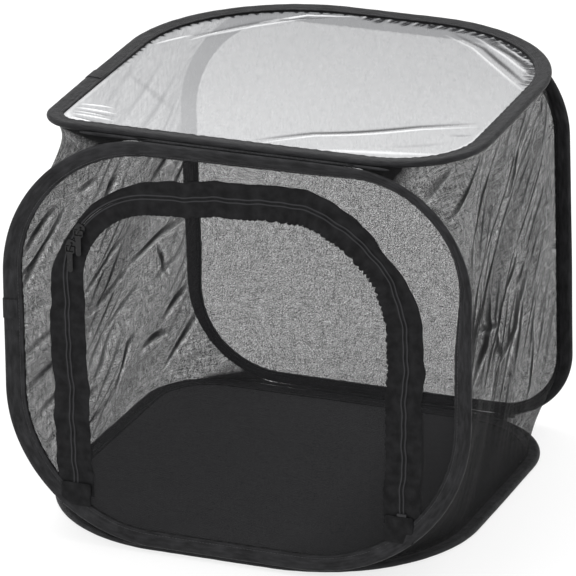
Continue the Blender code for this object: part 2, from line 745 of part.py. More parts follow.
def on_arch(mesh_data, angle):
    """Turns a shape made upright round the origin, and moves it to its arch place."""
    x, z = arch_place(angle)
    bmesh.ops.rotate(mesh_data, verts=mesh_data.verts,
                     matrix=Matrix.Rotation(angle, 3, "Y"))
    bmesh.ops.translate(mesh_data, verts=mesh_data.verts, vec=(x, FRONT_Y, z))
    return mesh_data


def add_part_of(target, mesh_data, name):
    """Joins a shape to a piece with a Boolean union; the shape itself stays a guide."""
    guide = add_piece(name, mesh_data, target.data.materials[0], target.parent)
    guide.hide_render = True
    guide.display_type = "WIRE"
    union = target.modifiers.new(name, "BOOLEAN")
    union.operation = "UNION"
    union.solver = "EXACT"
    union.object = guide


def make_slider(name, angle, material, pivot):
    """A zip slider: front plate over both tapes, a web down the groove, a plate behind
    the door's teeth, and a bail for the pull."""
    front = plate(slider_outline(), SLIDER_PLATE_FACE, SLIDER_PLATE_BACK)
    slider = add_piece(name, on_arch(front, angle), material, pivot)
    back_face = CHAIN_BACK + GAP
    side = SLIDER_WEB / 2
    reach = SLIDER_WEB_LENGTH / 2
    web = plate([(-side, -reach), (side, -reach), (side, reach), (-side, reach)],
                SLIDER_PLATE_BACK - SLIDER_PLATE / 2, back_face + SLIDER_BACK_PLATE / 2)
    add_part_of(slider, on_arch(web, angle), name + "_web")
    long_half = SLIDER_BACK_LENGTH / 2
    short_half = SLIDER_BACK_NOSE / 2
    back = plate([(-SLIDER_WEB, -long_half), (SLIDER_BACK_WIDTH, -short_half),
                  (SLIDER_BACK_WIDTH, short_half), (-SLIDER_WEB, long_half)],
                 back_face, back_face + SLIDER_BACK_PLATE)
    add_part_of(slider, on_arch(back, angle), name + "_back_plate")
    add_part_of(slider, on_arch(make_bail(), angle), name + "_bail")
    return slider


def pull_axis(angle):
    """Where a slider's pull hangs: under the top of its bail, in world metres."""
    x, z = arch_place(angle)
    return (x, FRONT_Y + SLIDER_PLATE_FACE - GAP - PULL_THICKNESS / 2, z)


def make_pull(name, angle, material, pivot):
    """A tapered pull with a window; its top bar lies under the bail, so it can flip."""
    x, y, z = pull_axis(angle)
    head = PULL_HEAD_WIDTH / 2
    tip = PULL_TIP_WIDTH / 2
    bar = PULL_BAR / 2
    neck = bar + PULL_EYE_HEIGHT
    foot = PULL_LENGTH
    rim = [(-head + bar, bar), (head - bar, bar), (head, 0.0), (head, -neck),
           (tip, -neck - 2 * PULL_BAR), (tip, -foot + 2 * tip)]
    for step in range(1, PULL_TIP_STEPS):
        turn = math.pi * step / PULL_TIP_STEPS
        rim.append((tip * math.cos(turn), -foot + 2 * tip - tip * math.sin(turn)))
    rim += [(-tip, -foot + 2 * tip), (-tip, -neck - 2 * PULL_BAR), (-head, -neck),
            (-head, 0.0)]
    eye = PULL_EYE_WIDTH / 2
    window = [(-eye, -bar), (eye, -bar), (eye, -neck), (-eye, -neck)]
    rim = [(x + a, z + b) for a, b in rim]
    window = [(x + a, z + b) for a, b in window]
    half = PULL_THICKNESS / 2
    pull = sheet_with_hole(rim, window, y - half, y + half)
    return add_piece(name, pull, material, pivot)


def build_panels(pivots, materials):
    """Hoop, ferrule, binding and lap of each of the four panels."""
    for panel in ("base", "front", "back", "top"):
        pivot = pivots[panel]
        add_piece(panel + "_binding", panel_sweep(panel, binding_section()),
                  materials["binding"], pivot, TAPE_SMOOTH)
        add_piece(panel + "_hoop_wire", make_wire(panel), materials["steel"], pivot)
        add_piece(panel + "_hoop_ferrule", make_ferrule(panel), materials["steel"], pivot)
        if panel in LAP_HEIGHTS:
            add_piece(panel + "_binding_lap", make_lap(panel, LAP_HEIGHTS[panel]),
                      materials["binding"], pivot, TAPE_SMOOTH)


def build_sheets(pivots, materials):
    add_piece("floor_cloth", make_sheet("base", FLOOR_THICKNESS), materials["cloth"],
              pivots["base"])
    add_piece("top_window", make_sheet("top", FILM_THICKNESS), materials["film"],
              pivots["top"])
    add_piece("back_net", make_sheet("back", NET_THICKNESS), materials["net"],
              pivots["back"])
    add_piece("front_net", make_front_net(), materials["net"], pivots["front"])
    add_piece("left_side_net", make_side_net(-1), materials["net"], pivots["base"])
    add_piece("right_side_net", make_side_net(1), materials["net"], pivots["base"])


def build_seams(pivots, materials):
    for flat, height, z in (("base", "low", HINGE_LOW), ("top", "high", HINGE_HIGH)):
        for upright, y in (("front", -HALF_DEPTH), ("back", HALF_DEPTH)):
            add_piece("fold_seam_" + upright + "_" + height, make_seam(upright, flat, y, z),
                      materials["thread"], pivots[flat])


def build_door(pivots, materials):
    front = pivots["front"]
    door = pivots["door"]
    tape_layer = (TAPE_FACE, TAPE_BACK)
    chain_layer = (CHAIN_FRONT, CHAIN_BACK)
    add_piece("zip_outer_tape", make_outer_tape(), materials["zip_tape"], front)
    add_piece("zip_outer_chain", make_outer_chain(), materials["teeth"], front)
    add_piece("zip_inner_tape", make_inner_band(ZIP_TAPE_WIDTH, *tape_layer, puckered=True),
              materials["zip_tape"], door)
    add_piece("zip_inner_chain", make_inner_band(CHAIN_WIDTH, *chain_layer),
              materials["teeth"], door)
    add_piece("door_net", make_door_net(), materials["net"], door)
    tab_top_right = ZIP_END_RIGHT - STOP_HEIGHT - 2 * GAP
    add_piece("zip_end_tab_left", make_tab(-1, ZIP_END_LEFT), materials["binding"], front)
    add_piece("zip_end_tab_right", make_tab(1, tab_top_right), materials["binding"],
              front)
    add_piece("zip_end_stop", make_end_stop(), materials["teeth"], front)


def build_sliders(pivots, materials):
    for name, angle in (("upper", UPPER_SLIDER_ANGLE), ("lower", LOWER_SLIDER_ANGLE)):
        make_slider(name + "_slider", angle, materials["slider"], pivots[name + "_slider"])
        make_pull(name + "_pull", angle, materials["slider"], pivots[name + "_pull"])


def make_pivots():
    """One empty on each joint's axis, in the order in which they carry each other."""
    pivots = {"base": make_pivot("base_frame", (0.0, 0.0, 0.0))}
    base = pivots["base"]
    pivots["front"] = make_pivot("front_fold", (0.0, -HALF_DEPTH, HINGE_LOW), base)
    pivots["back"] = make_pivot("back_fold", (0.0, HALF_DEPTH, HINGE_LOW), base)
    pivots["top"] = make_pivot("top_fold", (0.0, -HALF_DEPTH, HINGE_HIGH),
                               pivots["front"])
    pivots["door"] = make_pivot("door_swing",
                                (0.0, FRONT_Y + TAPE_FACE, DOOR_HINGE_HEIGHT),
                                pivots["front"])
    corner = (arch_corner(-1)[1], FRONT_Y, arch_corner(-1)[2])
    for name, angle in (("upper", UPPER_SLIDER_ANGLE), ("lower", LOWER_SLIDER_ANGLE)):
        travel = make_pivot(name + "_slider_travel", corner, pivots["door"])
        pivots[name + "_slider"] = travel
        pivots[name + "_pull"] = make_pivot(name + "_pull_flip", pull_axis(angle), travel)
    return pivots


def make_materials():
    return {
        "binding": make_material("binding_tape", (0.018, 0.018, 0.020), 0.62),
        "net": make_material("black_net", (0.020, 0.020, 0.022), 0.80, alpha=0.55),
        "cloth": make_material("floor_cloth", (0.016, 0.016, 0.017), 0.75),
        "film": make_material("clear_film", (0.85, 0.86, 0.88), 0.18, alpha=0.35),
        "steel": make_material("spring_steel", (0.45, 0.45, 0.47), 0.35, 1.0),
        "thread": make_material("seam_thread", (0.022, 0.022, 0.024), 0.70),
        "zip_tape": make_material("zip_tape", (0.014, 0.014, 0.015), 0.70),
        "teeth": make_material("zip_teeth", (0.030, 0.030, 0.032), 0.38),
        "slider": make_material("zip_slider", (0.040, 0.040, 0.042), 0.32, 0.85),
    }


clear_scene()
piece_pivots = make_pivots()
piece_materials = make_materials()
bpy.context.view_layer.update()
build_panels(piece_pivots, piece_materials)
build_sheets(piece_pivots, piece_materials)
build_seams(piece_pivots, piece_materials)
build_door(piece_pivots, piece_materials)
build_sliders(piece_pivots, piece_materials)
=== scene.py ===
import json
import math

import bpy
import numpy as np
from mathutils import Matrix, Vector

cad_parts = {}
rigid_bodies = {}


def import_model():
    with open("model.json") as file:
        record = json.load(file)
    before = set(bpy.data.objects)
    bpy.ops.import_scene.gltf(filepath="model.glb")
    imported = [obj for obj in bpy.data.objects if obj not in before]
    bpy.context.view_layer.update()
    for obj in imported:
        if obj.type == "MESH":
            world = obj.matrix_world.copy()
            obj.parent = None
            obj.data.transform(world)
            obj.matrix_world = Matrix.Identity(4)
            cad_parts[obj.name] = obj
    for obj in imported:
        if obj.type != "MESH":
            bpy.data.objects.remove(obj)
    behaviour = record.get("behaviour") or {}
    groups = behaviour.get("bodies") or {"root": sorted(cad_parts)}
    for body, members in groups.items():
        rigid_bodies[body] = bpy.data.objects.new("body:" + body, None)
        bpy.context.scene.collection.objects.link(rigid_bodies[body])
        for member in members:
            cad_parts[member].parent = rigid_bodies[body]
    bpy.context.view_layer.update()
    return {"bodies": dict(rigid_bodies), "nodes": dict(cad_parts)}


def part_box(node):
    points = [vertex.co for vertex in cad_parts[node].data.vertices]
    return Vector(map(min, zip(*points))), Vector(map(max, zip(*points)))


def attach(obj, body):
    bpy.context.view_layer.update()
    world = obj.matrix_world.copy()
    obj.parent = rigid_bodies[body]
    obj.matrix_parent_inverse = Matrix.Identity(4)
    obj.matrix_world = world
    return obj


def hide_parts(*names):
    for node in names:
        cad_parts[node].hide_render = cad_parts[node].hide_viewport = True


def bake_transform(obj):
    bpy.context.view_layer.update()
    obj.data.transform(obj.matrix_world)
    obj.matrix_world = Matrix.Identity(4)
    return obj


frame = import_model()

# Hoops: a closed loop of blued spring wire keeps each panel open, and the binding tape
# hides it. The two ends of the wire are crimped in a plain steel sleeve.


class Shade:
    """A value inside a finish. Arithmetic on it adds the nodes that work it out."""

    def __init__(self, finish, socket):
        self.finish = finish
        self.socket = socket

    def math(self, operation, *values):
        places = dict(enumerate((self,) + values))
        return self.finish.node("Math", {"operation": operation}, places)

    def reversed_math(self, operation, other):
        return self.finish.node("Math", {"operation": operation}, {0: other, 1: self})

    def __add__(self, other):
        return self.math("ADD", other)

    def __sub__(self, other):
        return self.math("SUBTRACT", other)

    def __rsub__(self, other):
        return self.reversed_math("SUBTRACT", other)

    def __mul__(self, other):
        return self.math("MULTIPLY", other)

    def __truediv__(self, other):
        return self.math("DIVIDE", other)

    __radd__ = __add__
    __rmul__ = __mul__

    def wave(self, pitch, start=0.0):
        """Rises and falls between 0 and 1, once in each pitch; 1 at whole pitches."""
        turn = self * (2 * math.pi / pitch) + start
        return turn.math("COSINE") * 0.5 + 0.5

    def step(self, low, high):
        """0 below low, 1 above high, and an even rise between them."""
        return ((self - low) / (high - low)).math("MAXIMUM", 0.0).math("MINIMUM", 1.0)


class Finish:
    """One material of the cage, put together from shades."""

    def __init__(self, name, slot, colour, roughness, **plain):
        self.slot = slot
        self.material = bpy.data.materials.new(name)
        self.material.use_nodes = True
        self.tree = self.material.node_tree
        self.shader = self.tree.nodes["Principled BSDF"]
        self.put("Base Color", colour)
        self.put("Roughness", roughness)
        for socket, value in plain.items():
            self.put(socket.replace("_", " "), value)

    def put(self, socket, value):
        """Sets one of the shader's own sockets to a number, a colour or a shade."""
        self.join(self.shader.inputs[socket], value)

    def join(self, target, value):
        if isinstance(value, Shade):
            self.tree.links.new(value.socket, target)
        elif target.type == "RGBA":
            target.default_value = (*value, 1.0)
        else:
            target.default_value = value

    def node(self, kind, settings, sockets, output=0):
        """Adds a node: its settings first, then the values or links of its sockets."""
        made = self.tree.nodes.new("ShaderNode" + kind)
        for setting, value in settings.items():
            setattr(made, setting, value)
        for socket, value in sockets.items():
            self.join(made.inputs[socket], value)
        return Shade(self, made.outputs[output])

    def mix(self, share, first, second):
        return self.node("Mix", {"data_type": "RGBA"}, {0: share, 6: first, 7: second}, 2)

    def place(self):
        """The point on the piece itself, in metres."""
        return self.node("TexCoord", {}, {}, "Object")

    def cloth(self, name="Weave"):
        """Where a point lies on the flat cloth, in metres: along it and across it."""
        chart = self.node("UVMap", {"uv_map": name}, {})
        return [self.node("SeparateXYZ", {}, {0: chart}, output) for output in (0, 1)]

    def noise(self, point, scale, detail=2.0):
        """Even noise from 0 to 1, at a place or at the values given for its axes."""
        if isinstance(point, tuple):
            point = self.node("CombineXYZ", {}, dict(enumerate(point)))
        return self.node("TexNoise", {}, {"Vector": point, "Scale": scale,
                                          "Detail": detail})

    def emboss(self, height, depth, strength=1.0):
        """Raises the surface by a height from 0 to 1, times a depth in metres."""
        normal = self.node("Bump", {}, {"Strength": strength, "Distance": depth,
                                        "Height": height})
        self.put("Normal", normal)


def steel_finish():
    finish = Finish("blued_spring_steel", "spring_steel", (0.2, 0.21, 0.24), 0.3,
                    Metallic=1.0)
    grain = finish.noise(finish.place(), 900.0, 4.0)
    tint = finish.noise(finish.place(), 60.0)
    finish.put("Base Color", finish.mix(tint, (0.12, 0.13, 0.17), (0.34, 0.33, 0.34)))
    finish.put("Roughness", 0.22 + 0.25 * grain)
    finish.emboss(grain, 0.00005)
    return finish


def paint_nodes(finish, *names):
    """Gives a finish to CAD nodes that stay in the scene."""
    for name in names:
        node = frame["nodes"][name]
        node.data.materials.clear()
        node.data.materials.append(finish.material)


# The panels, each with the axis that it faces along and its way in
PANELS = {"base": (2, 1), "front": (1, 1), "back": (1, -1), "top": (2, -1)}
spring_steel = steel_finish()
for panel in PANELS:
    paint_nodes(spring_steel, panel + "_hoop_wire", panel + "_hoop_ferrule")

# Bindings: black grosgrain tape, folded in half over the hoop and the panel's edge and
# sewn through along its open side. The tape is a little uneven all round.
SIDE_BULGE = 0.0067
SHAPES = {
    "front": dict(half_width=0.2153, low=(0.135, 0.155), high=(0.138, 0.109),
                  offset=0.000, sway=-0.0010),
    "back": dict(half_width=0.1907, low=(0.090, 0.070), high=(0.117, 0.094),
                 offset=-0.0054, sway=-0.0059),
    "top": dict(half_width=0.1939, low=(0.034, 0.084), high=(0.156, 0.149),
                offset=0.0093, sway=0.0010),
    "base": dict(half_width=0.1985, low=(0.143, 0.140), high=(0.063, 0.093),
                 offset=-0.0182, sway=0.0071),
}
BODIES = {"base": "base", "front": "front_panel", "back": "back_panel", "top": "top_panel"}
TAPE_WIDTH = 0.0150
ROLL_RADIUS = 0.0028        # of the tape over the hoop
ROLL_DEPTH = 0.0052
LIP_HALF = 0.0017
LIP_GROOVE = 0.0006
LIP_GROOVE_DEPTH = 0.0010
LIP_CHAMFER = 0.0003
STITCH_INSET = 0.0124       # of the row of stitches, from the rim
STITCH_DIP = 0.0003
STITCH_DIP_WIDTH = 0.0006
# Where the folded tape's section has its points past the roll, in from the rim
SECTION_INSETS = (0.0040, ROLL_DEPTH, 0.0066, 0.0084, 0.0102, 0.0114, 0.0119,
                  STITCH_INSET, 0.0129, 0.0134, 0.0144, TAPE_WIDTH - 0.0002)
RIM_SPACING = 0.0025
CORNER_STEPS = 48


def corner_radius(panel, side, edge):
    """Radius at a panel's left (-1) or right corner, on its low (-1) or high edge."""
    return SHAPES[panel]["low" if edge < 0 else "high"][0 if side < 0 else 1]


def half_height(panel):
    low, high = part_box(panel + "_binding")
    return (high - low)[3 - PANELS[panel][0]] / 2


def stack(*parts):
    """Points from their coordinates, which are arrays or single numbers."""
    return np.stack(np.broadcast_arrays(*parts), axis=-1)


def unit(ways):
    return ways / np.linalg.norm(ways, axis=-1, keepdims=True)


def distance_run(points):
    """Distance along a line of points, from the first one."""
    return np.append(0.0, np.cumsum(np.linalg.norm(np.diff(points, axis=0), axis=1)))


def panel_point(panel, x, y, inward):
    """World points from places in a panel's own plane, with its bowed, leaning sides."""
    shape = SHAPES[panel]
    half_h = half_height(panel)
    across = x * (1 - SIDE_BULGE * (y / half_h) ** 2)
    across = across + shape["sway"] * y / half_h + shape["offset"]
    up = y * (1 - SIDE_BULGE * (x / shape["half_width"]) ** 2)
    low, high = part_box(panel + "_binding")
    middle = (low + high) / 2
    place = [across, middle.y + up, middle.z + up]
    axis, way = PANELS[panel]
    place[axis] = middle[axis] + way * inward
    return stack(*place)


def arc(centre, radius, first, last, steps):
    """An arc from one angle to another, in degrees: each row is a point and then the way
    inwards from it."""
    rows = []
    for angle in np.radians(np.linspace(first, last, steps + 1)):
        way = np.array([math.cos(angle), math.sin(angle)])
        rows.append((*(centre + radius * way), *-way))
    return rows


def even_course(rows, spacing, closed):
    """Resamples a line, given like an arc, at even distances: the points, the ways
    inwards, and the distance run."""
    if closed:
        rows = rows + rows[:1]
    rows = np.array(rows)
    run = distance_run(rows[:, :2])
    count = max(int(round(run[-1] / spacing)), 1)
    at = np.linspace(0.0, run[-1], count + 1)
    rows = stack(*[np.interp(at, run, column) for column in rows.T])
    if closed:
        rows = rows[:-1]
    return rows[:, :2], unit(rows[:, 2:]), at


def rim_course(panel, spacing=RIM_SPACING):
    """A panel's rim, clockwise from its left side's middle."""
    w = SHAPES[panel]["half_width"]
    h = half_height(panel)
    rows = [(-w, 0.0, 1.0, 0.0)]
    for side, edge, start in ((-1, 1, 180), (1, 1, 90), (1, -1, 0), (-1, -1, -90)):
        radius = corner_radius(panel, side, edge)
        centre = (side * (w - radius), edge * (h - radius))
        rows += arc(centre, radius, start, start - 90, CORNER_STEPS)
    return even_course(rows, spacing, closed=True)


def binding_face(inset):
    """Half the folded tape's thickness at a distance in from the rim."""
    roll = np.sqrt(np.clip(1 - (1 - np.clip(inset / ROLL_RADIUS, 0, 1)) ** 2, 0, 1))
    fall = np.clip((inset - ROLL_DEPTH) / (TAPE_WIDTH - ROLL_DEPTH), 0, 1)
    half = ROLL_RADIUS * roll - (ROLL_RADIUS - LIP_HALF) * fall ** 0.7
    dip = STITCH_DIP * np.exp(-((inset - STITCH_INSET) / STITCH_DIP_WIDTH) ** 2)
    return half - dip


def binding_section():
    """The folded tape's section as (inset, height), once round."""
    turn = np.linspace(0.0, 0.5 * math.pi, 6)
    insets = np.concatenate([ROLL_RADIUS * (1 - np.cos(turn)), SECTION_INSETS])
    half = binding_face(insets)
    upper = stack(insets, half)
    mouth = np.array([(TAPE_WIDTH, half[-1] - LIP_CHAMFER), (TAPE_WIDTH, LIP_GROOVE / 2),
                      (TAPE_WIDTH - LIP_GROOVE_DEPTH, 0.0)])
    lower = upper[:0:-1] * (1, -1)
    return np.vstack([upper, mouth, mouth[1::-1] * (1, -1), lower])


def link_piece(name, points, faces, charts):
    """A smooth new piece, and where each corner of its faces lies on the flat cloth."""
    mesh = bpy.data.meshes.new(name)
    mesh.from_pydata(points.reshape(-1, 3).tolist(), [], faces)
    layer = mesh.uv_layers.new(name="Weave")
    layer.data.foreach_set("uv", charts.astype(np.float32).ravel())
    mesh.shade_smooth()
    piece = bpy.data.objects.new(name, mesh)
    bpy.context.collection.objects.link(piece)
    return piece


def sew(name, grid, weave, wrap_run=False, wrap_across=False, caps=False):
    """Sews a grid of points into one smooth surface. The weave gives where each point
    lies on the flat cloth, so that the threads keep their size."""
    rows, columns = grid.shape[:2]
    last_row = rows if wrap_run else rows - 1
    last_column = columns if wrap_across else columns - 1
    i, j = np.meshgrid(np.arange(last_row), np.arange(last_column), indexing="ij")
    i = i.ravel()
    j = j.ravel()
    corners = [(i, j), (i, j + 1), (i + 1, j + 1), (i + 1, j)]
    faces = stack(*[(a % rows) * columns + b % columns for a, b in corners]).tolist()
    charts = np.stack([weave[a, b] for a, b in corners], axis=1).reshape(-1, 2)
    if caps:
        faces.append(list(range(columns))[::-1])
        faces.append([(rows - 1) * columns + k for k in range(columns)])
        charts = np.vstack([charts, weave[0, :columns][::-1], weave[-1, :columns]])
    return link_piece(name, grid, faces, charts)


def outward(piece):
    """Turns a closed piece's faces outwards, where its grid runs the other way."""
    mesh = piece.data
    mesh.calc_loop_triangles()
    corners = [[mesh.vertices[k].co for k in face.vertices] for face in mesh.loop_triangles]
    if sum(a.dot(b.cross(c)) for a, b, c in corners) < 0:
        mesh.flip_normals()
    return piece


def sew_tube(name, grid, run, girth, closed=False):
    """Sews a tube from its rings, charted by the run along it and the girth round it.
    It closes on itself, or else has a flat cap at each end."""
    weave = stack(*np.meshgrid(run, girth, indexing="ij"))
    return outward(sew(name, grid, weave, closed, True, not closed))


def fit(piece, finish, body, *nodes):
    """Gives a piece its finish and its body, and hides the solids that it stands for."""
    piece.data.materials.append(finish.material)
    if body:
        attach(piece, body)
    if nodes:
        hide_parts(*nodes)
    return piece


def ripple(at, length, counts, depth, start):
    """An uneven wave that meets itself after a length."""
    total = 0.0 * at
    for n, count in enumerate(counts):
        total = total + np.sin(2 * math.pi * count * at / length + start + 1.7 * n)
    return depth * total / len(counts)


SHADED_LIP_START = 0.0132          # of the painted shade on the sewn lip, along the tape's own section
SHADED_LIP_END = 0.0212
SHADED_LIP_EDGE = 0.0006           # over which its painted shade comes in
RIB_PITCH = 0.00072
PICK_PITCH = 0.0011


def tape_finish():
    """Grosgrain: fine ribs across the tape, and painted shade on its sewn lip."""
    finish = Finish("black_binding_tape", "binding_tape", (0.012, 0.012, 0.013), 0.6,
                    Sheen_Weight=0.04, Sheen_Roughness=0.35, Specular_IOR_Level=0.14)
    run, across = finish.cloth()
    rib = run.wave(RIB_PITCH)
    pick = across.wave(PICK_PITCH, 0.7)
    cloud = finish.noise((run, across), 45.0, 3.0)
    fuzz = finish.noise((run, across * 3.0), 1500.0)
    worn = finish.noise((run * 0.4, across), 160.0).step(0.52, 0.75)
    # Painted sheen: lighter streaks that run along the tape.
    sheen_streak = finish.noise((run, across * 5.0), 75.0, 3.0).step(0.4, 0.65)
    light = 0.15 * rib + 0.3 * cloud.step(0.35, 0.7) + 0.25 * worn + 0.3 * sheen_streak
    colour = finish.mix(light, (0.004, 0.004, 0.0044), (0.034, 0.034, 0.0365))
    # Painted shade: the sewn lip and the open edge, where the tape's halves meet, are
    # darker.
    lip_shade = across.step(SHADED_LIP_START, SHADED_LIP_START + SHADED_LIP_EDGE) * (
        1.0 - across.step(SHADED_LIP_END - SHADED_LIP_EDGE, SHADED_LIP_END))
    finish.put("Base Color", finish.mix(0.55 * lip_shade, colour, (0.003, 0.003, 0.0032)))
    crease = finish.noise((run * 0.6 + across * 0.5, across), 210.0, 3.0)
    finish.put("Roughness", 0.42 + 0.16 * cloud + 0.14 * fuzz)
    finish.emboss(rib * 0.2 + pick * 0.1 + fuzz * 0.15 + crease * 3.0, 0.0004)
    return finish


# Where less of the tape shows, because more of it is turned under: distance round the
# rim, and the share of its usual width
TAPE_SHARES = {
    "base": [(0.0, 1.0)],
    "front": [(0.02, 1.25), (0.10, 1.1), (0.24, 0.9), (0.32, 0.8), (0.42, 0.72),
              (0.50, 0.5), (0.58, 0.52), (0.67, 1.0), (1.15, 1.0), (1.27, 1.25)],
    "back": [(0.80, 1.0), (0.88, 0.72), (1.20, 0.70), (1.30, 1.0)],
    "top": [(0.0, 1.0)],
}


def read_table(table, at):
    """Values at any places, from a table's rows of a place and its value."""
    return np.interp(at, *np.array(table).T)


def draw_tape(panel, at, inset):
    """Draws places on the tape's section nearer the hoop, where less of it shows."""
    share = read_table(TAPE_SHARES[panel], at)
    roll = ROLL_DEPTH * np.minimum(share + 0.3, 1.0)
    beyond = np.maximum(inset - ROLL_DEPTH, 0.0) / (TAPE_WIDTH - ROLL_DEPTH)
    return np.minimum(inset / ROLL_DEPTH, 1.0) * roll + beyond * (share * TAPE_WIDTH - roll)


# The waves round each rim, their depth and their start, of the tape's waver inwards, its
# lift off the panel's plane, its swelling and its puckers
TAPE_RIPPLES = (((5, 9, 14), 0.0002, 0.0), ((4, 7, 11), 0.0004, 0.6),
                ((31, 53, 87), 0.05, 1.1), ((96, 131, 157), 0.0003, 0.3))


def make_binding(panel):
    points, inwards, at = rim_course(panel)
    section = binding_section()
    waver, lift, swell, pucker = [ripple(at[:-1, None], at[-1], *wave)
                                  for wave in TAPE_RIPPLES]
    inset, height = section.T
    share = inset / TAPE_WIDTH
    inset = inset + waver * (1 - share) + pucker * share ** 3 * np.sign(height)
    height = height * (1 + swell) + lift * np.sin(math.pi * share) + pucker * share ** 2
    inset = draw_tape(panel, at[:-1, None], inset)
    x, y = np.moveaxis(points[:, None] + inwards[:, None] * inset[..., None], -1, 0)
    girth = distance_run(np.vstack([section, section[:1]]))
    return sew_tube(panel + "_binding_cover", panel_point(panel, x, y, height), at, girth,
                    closed=True)


binding_tape = tape_finish()
for panel in PANELS:
    fit(make_binding(panel), binding_tape, BODIES[panel], panel + "_binding")

# Stitches: one row of black thread through both halves of each binding, near its open
# edge. Each stitch is a small bead, and the same thread whips the fold seams later on.
STITCH_PITCH = 0.0032
STITCH_LENGTH = 0.0024
STITCH_RADIUS = 0.00024
STITCH_SIDES = 6
STITCH_PROBE = 0.001        # a short way, to find how the cloth lies there
STITCH_STATIONS = ((-0.5, 0.25), (-0.3, 0.95), (0.3, 0.95), (0.5, 0.25))


def thread_finish():
    finish = Finish("black_thread", "seam_thread", (0.03, 0.03, 0.032), 0.5,
                    Sheen_Weight=0.1, Specular_IOR_Level=0.3)
    run, across = finish.cloth()
    twist = (run + 0.4 * across).wave(0.0005)
    finish.put("Base Color", finish.mix(twist, (0.012, 0.012, 0.013),
                                        (0.06, 0.06, 0.063)))
    finish.put("Roughness", 0.42 + 0.2 * twist)
    finish.emboss(twist, 0.00008)
    return finish


def sew_stitches(name, middles, ways, outs, length=STITCH_LENGTH):
    """One bead of thread at each place, lying along its way and proud of the cloth."""
    ways = unit(ways)
    outs = unit(outs)
    sides = np.cross(ways, outs)
    turns = 2 * math.pi * np.arange(STITCH_SIDES) / STITCH_SIDES
    bead = np.array([(along * length, size * STITCH_RADIUS * math.cos(turn),
                      size * STITCH_RADIUS * math.sin(turn))
                     for along, size in STITCH_STATIONS for turn in turns])
    points = (middles[:, None] + bead[:, :1] * ways[:, None] + bead[:, 1:2] * sides[:, None]
              + bead[:, 2:] * outs[:, None])
    count = len(bead)
    first = np.arange(count - STITCH_SIDES)
    after = first - first % STITCH_SIDES + (first + 1) % STITCH_SIDES
    pattern = stack(first, after, after + STITCH_SIDES, first + STITCH_SIDES).tolist()
    pattern.append(list(range(STITCH_SIDES))[::-1])
    pattern.append(list(range(count - STITCH_SIDES, count)))
    faces = [[k + n * count for k in face] for n in range(len(middles)) for face in pattern]
    chart = np.tile(bead[:, :2], (len(middles), 1))
    return outward(link_piece(name, points, faces, chart[np.concatenate(faces)]))


def binding_stitches(panel):
    points, inwards, at = rim_course(panel, STITCH_PITCH)
    inset = draw_tape(panel, at[:-1], STITCH_INSET)
    x, y = (points + inwards * inset[:, None]).T
    low = float(binding_face(STITCH_INSET)) + STITCH_RADIUS * 0.35
    high = low + STITCH_PROBE
    rows = []
    for face in (-1, 1):
        foot = panel_point(panel, x, y, face * low)
        tip = panel_point(panel, x, y, face * high)
        ahead = panel_point(panel, x + inwards[:, 1] * STITCH_PROBE,
                            y - inwards[:, 0] * STITCH_PROBE, face * high)
        rows.append((foot, ahead - tip, tip - foot))
    return sew_stitches(panel + "_binding_stitches", *np.concatenate(rows, axis=1))


black_thread = thread_finish()
for panel in PANELS:
    fit(binding_stitches(panel), black_thread, BODIES[panel])

# Laps: where each binding tape ends, its end is turned under and sewn over its start.
# It lies on the left side of the front, top and back panels as a slightly thicker patch.
LAP_LENGTH = 0.018
LAP_HEIGHTS = {"front": 0.020, "top": -0.062, "back": 0.050}
LAP_MOUTH = 0.0008          # that the lap leaves free at the tape's open edge
LAP_GAP = 0.0001
LAP_WALL = 0.0007
LAP_SLANT = 0.08
LAP_ROWS = 12


def make_lap(panel):
    section = binding_section()
    middle = (section.max(axis=0) + section.min(axis=0)) / 2
    opened = np.roll(section, -len(section) // 2, axis=0)
    keep = opened[opened[:, 0] < TAPE_WIDTH - LAP_MOUTH]
    tangent = np.gradient(keep, axis=0)
    normal = unit(stack(tangent[:, 1], -tangent[:, 0]))
    if np.sum(normal * (keep - middle)) < 0:
        normal = -normal
    ring = np.vstack([keep + normal * LAP_GAP, (keep + normal * LAP_WALL)[::-1]])
    along = LAP_LENGTH * np.linspace(-0.5, 0.5, LAP_ROWS + 1)
    x = ring[:, 0] - SHAPES[panel]["half_width"]
    y = LAP_HEIGHTS[panel] + along[:, None] + LAP_SLANT * (ring[:, 0] - middle[0])
    grid = panel_point(panel, x, y, ring[:, 1])
    girth = distance_run(np.vstack([ring, ring[:1]]))
    return sew_tube(panel + "_binding_lap_cover", grid, along, girth)


for panel in LAP_HEIGHTS:
    fit(make_lap(panel), binding_tape, BODIES[panel], panel + "_binding_lap")

# Fold seams: a piped cord of binding tape joins two panels edge to edge, whipped on with
# thread, and the cage hinges on it when it folds.
PIPING_RADIUS = 0.0015
PIPING_RUN_ON = 0.036       # past the straight part, into the corners
PIPING_SIDES = 12
PIPING_ROWS = 90
PIPING_TAPER = 0.7


def make_piping(seam):
    low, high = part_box(seam)
    middle = (low + high) / 2
    share = np.linspace(-1, 1, PIPING_ROWS)[:, None]
    x = middle.x + share * ((high.x - low.x) / 2 + PIPING_RUN_ON)
    turns = 2 * math.pi * np.arange(PIPING_SIDES + 1) / PIPING_SIDES
    size = PIPING_RADIUS * (1 - PIPING_TAPER * share ** 30)
    grid = stack(x, middle.y + size * np.cos(turns), middle.z + size * np.sin(turns))
    return sew_tube(seam + "_piping", grid[:, :-1], x[:, 0], PIPING_RADIUS * turns)


WHIP_PITCH = 0.0044
WHIP_SPREAD = 0.0010
WHIP_SLANT = 1.6


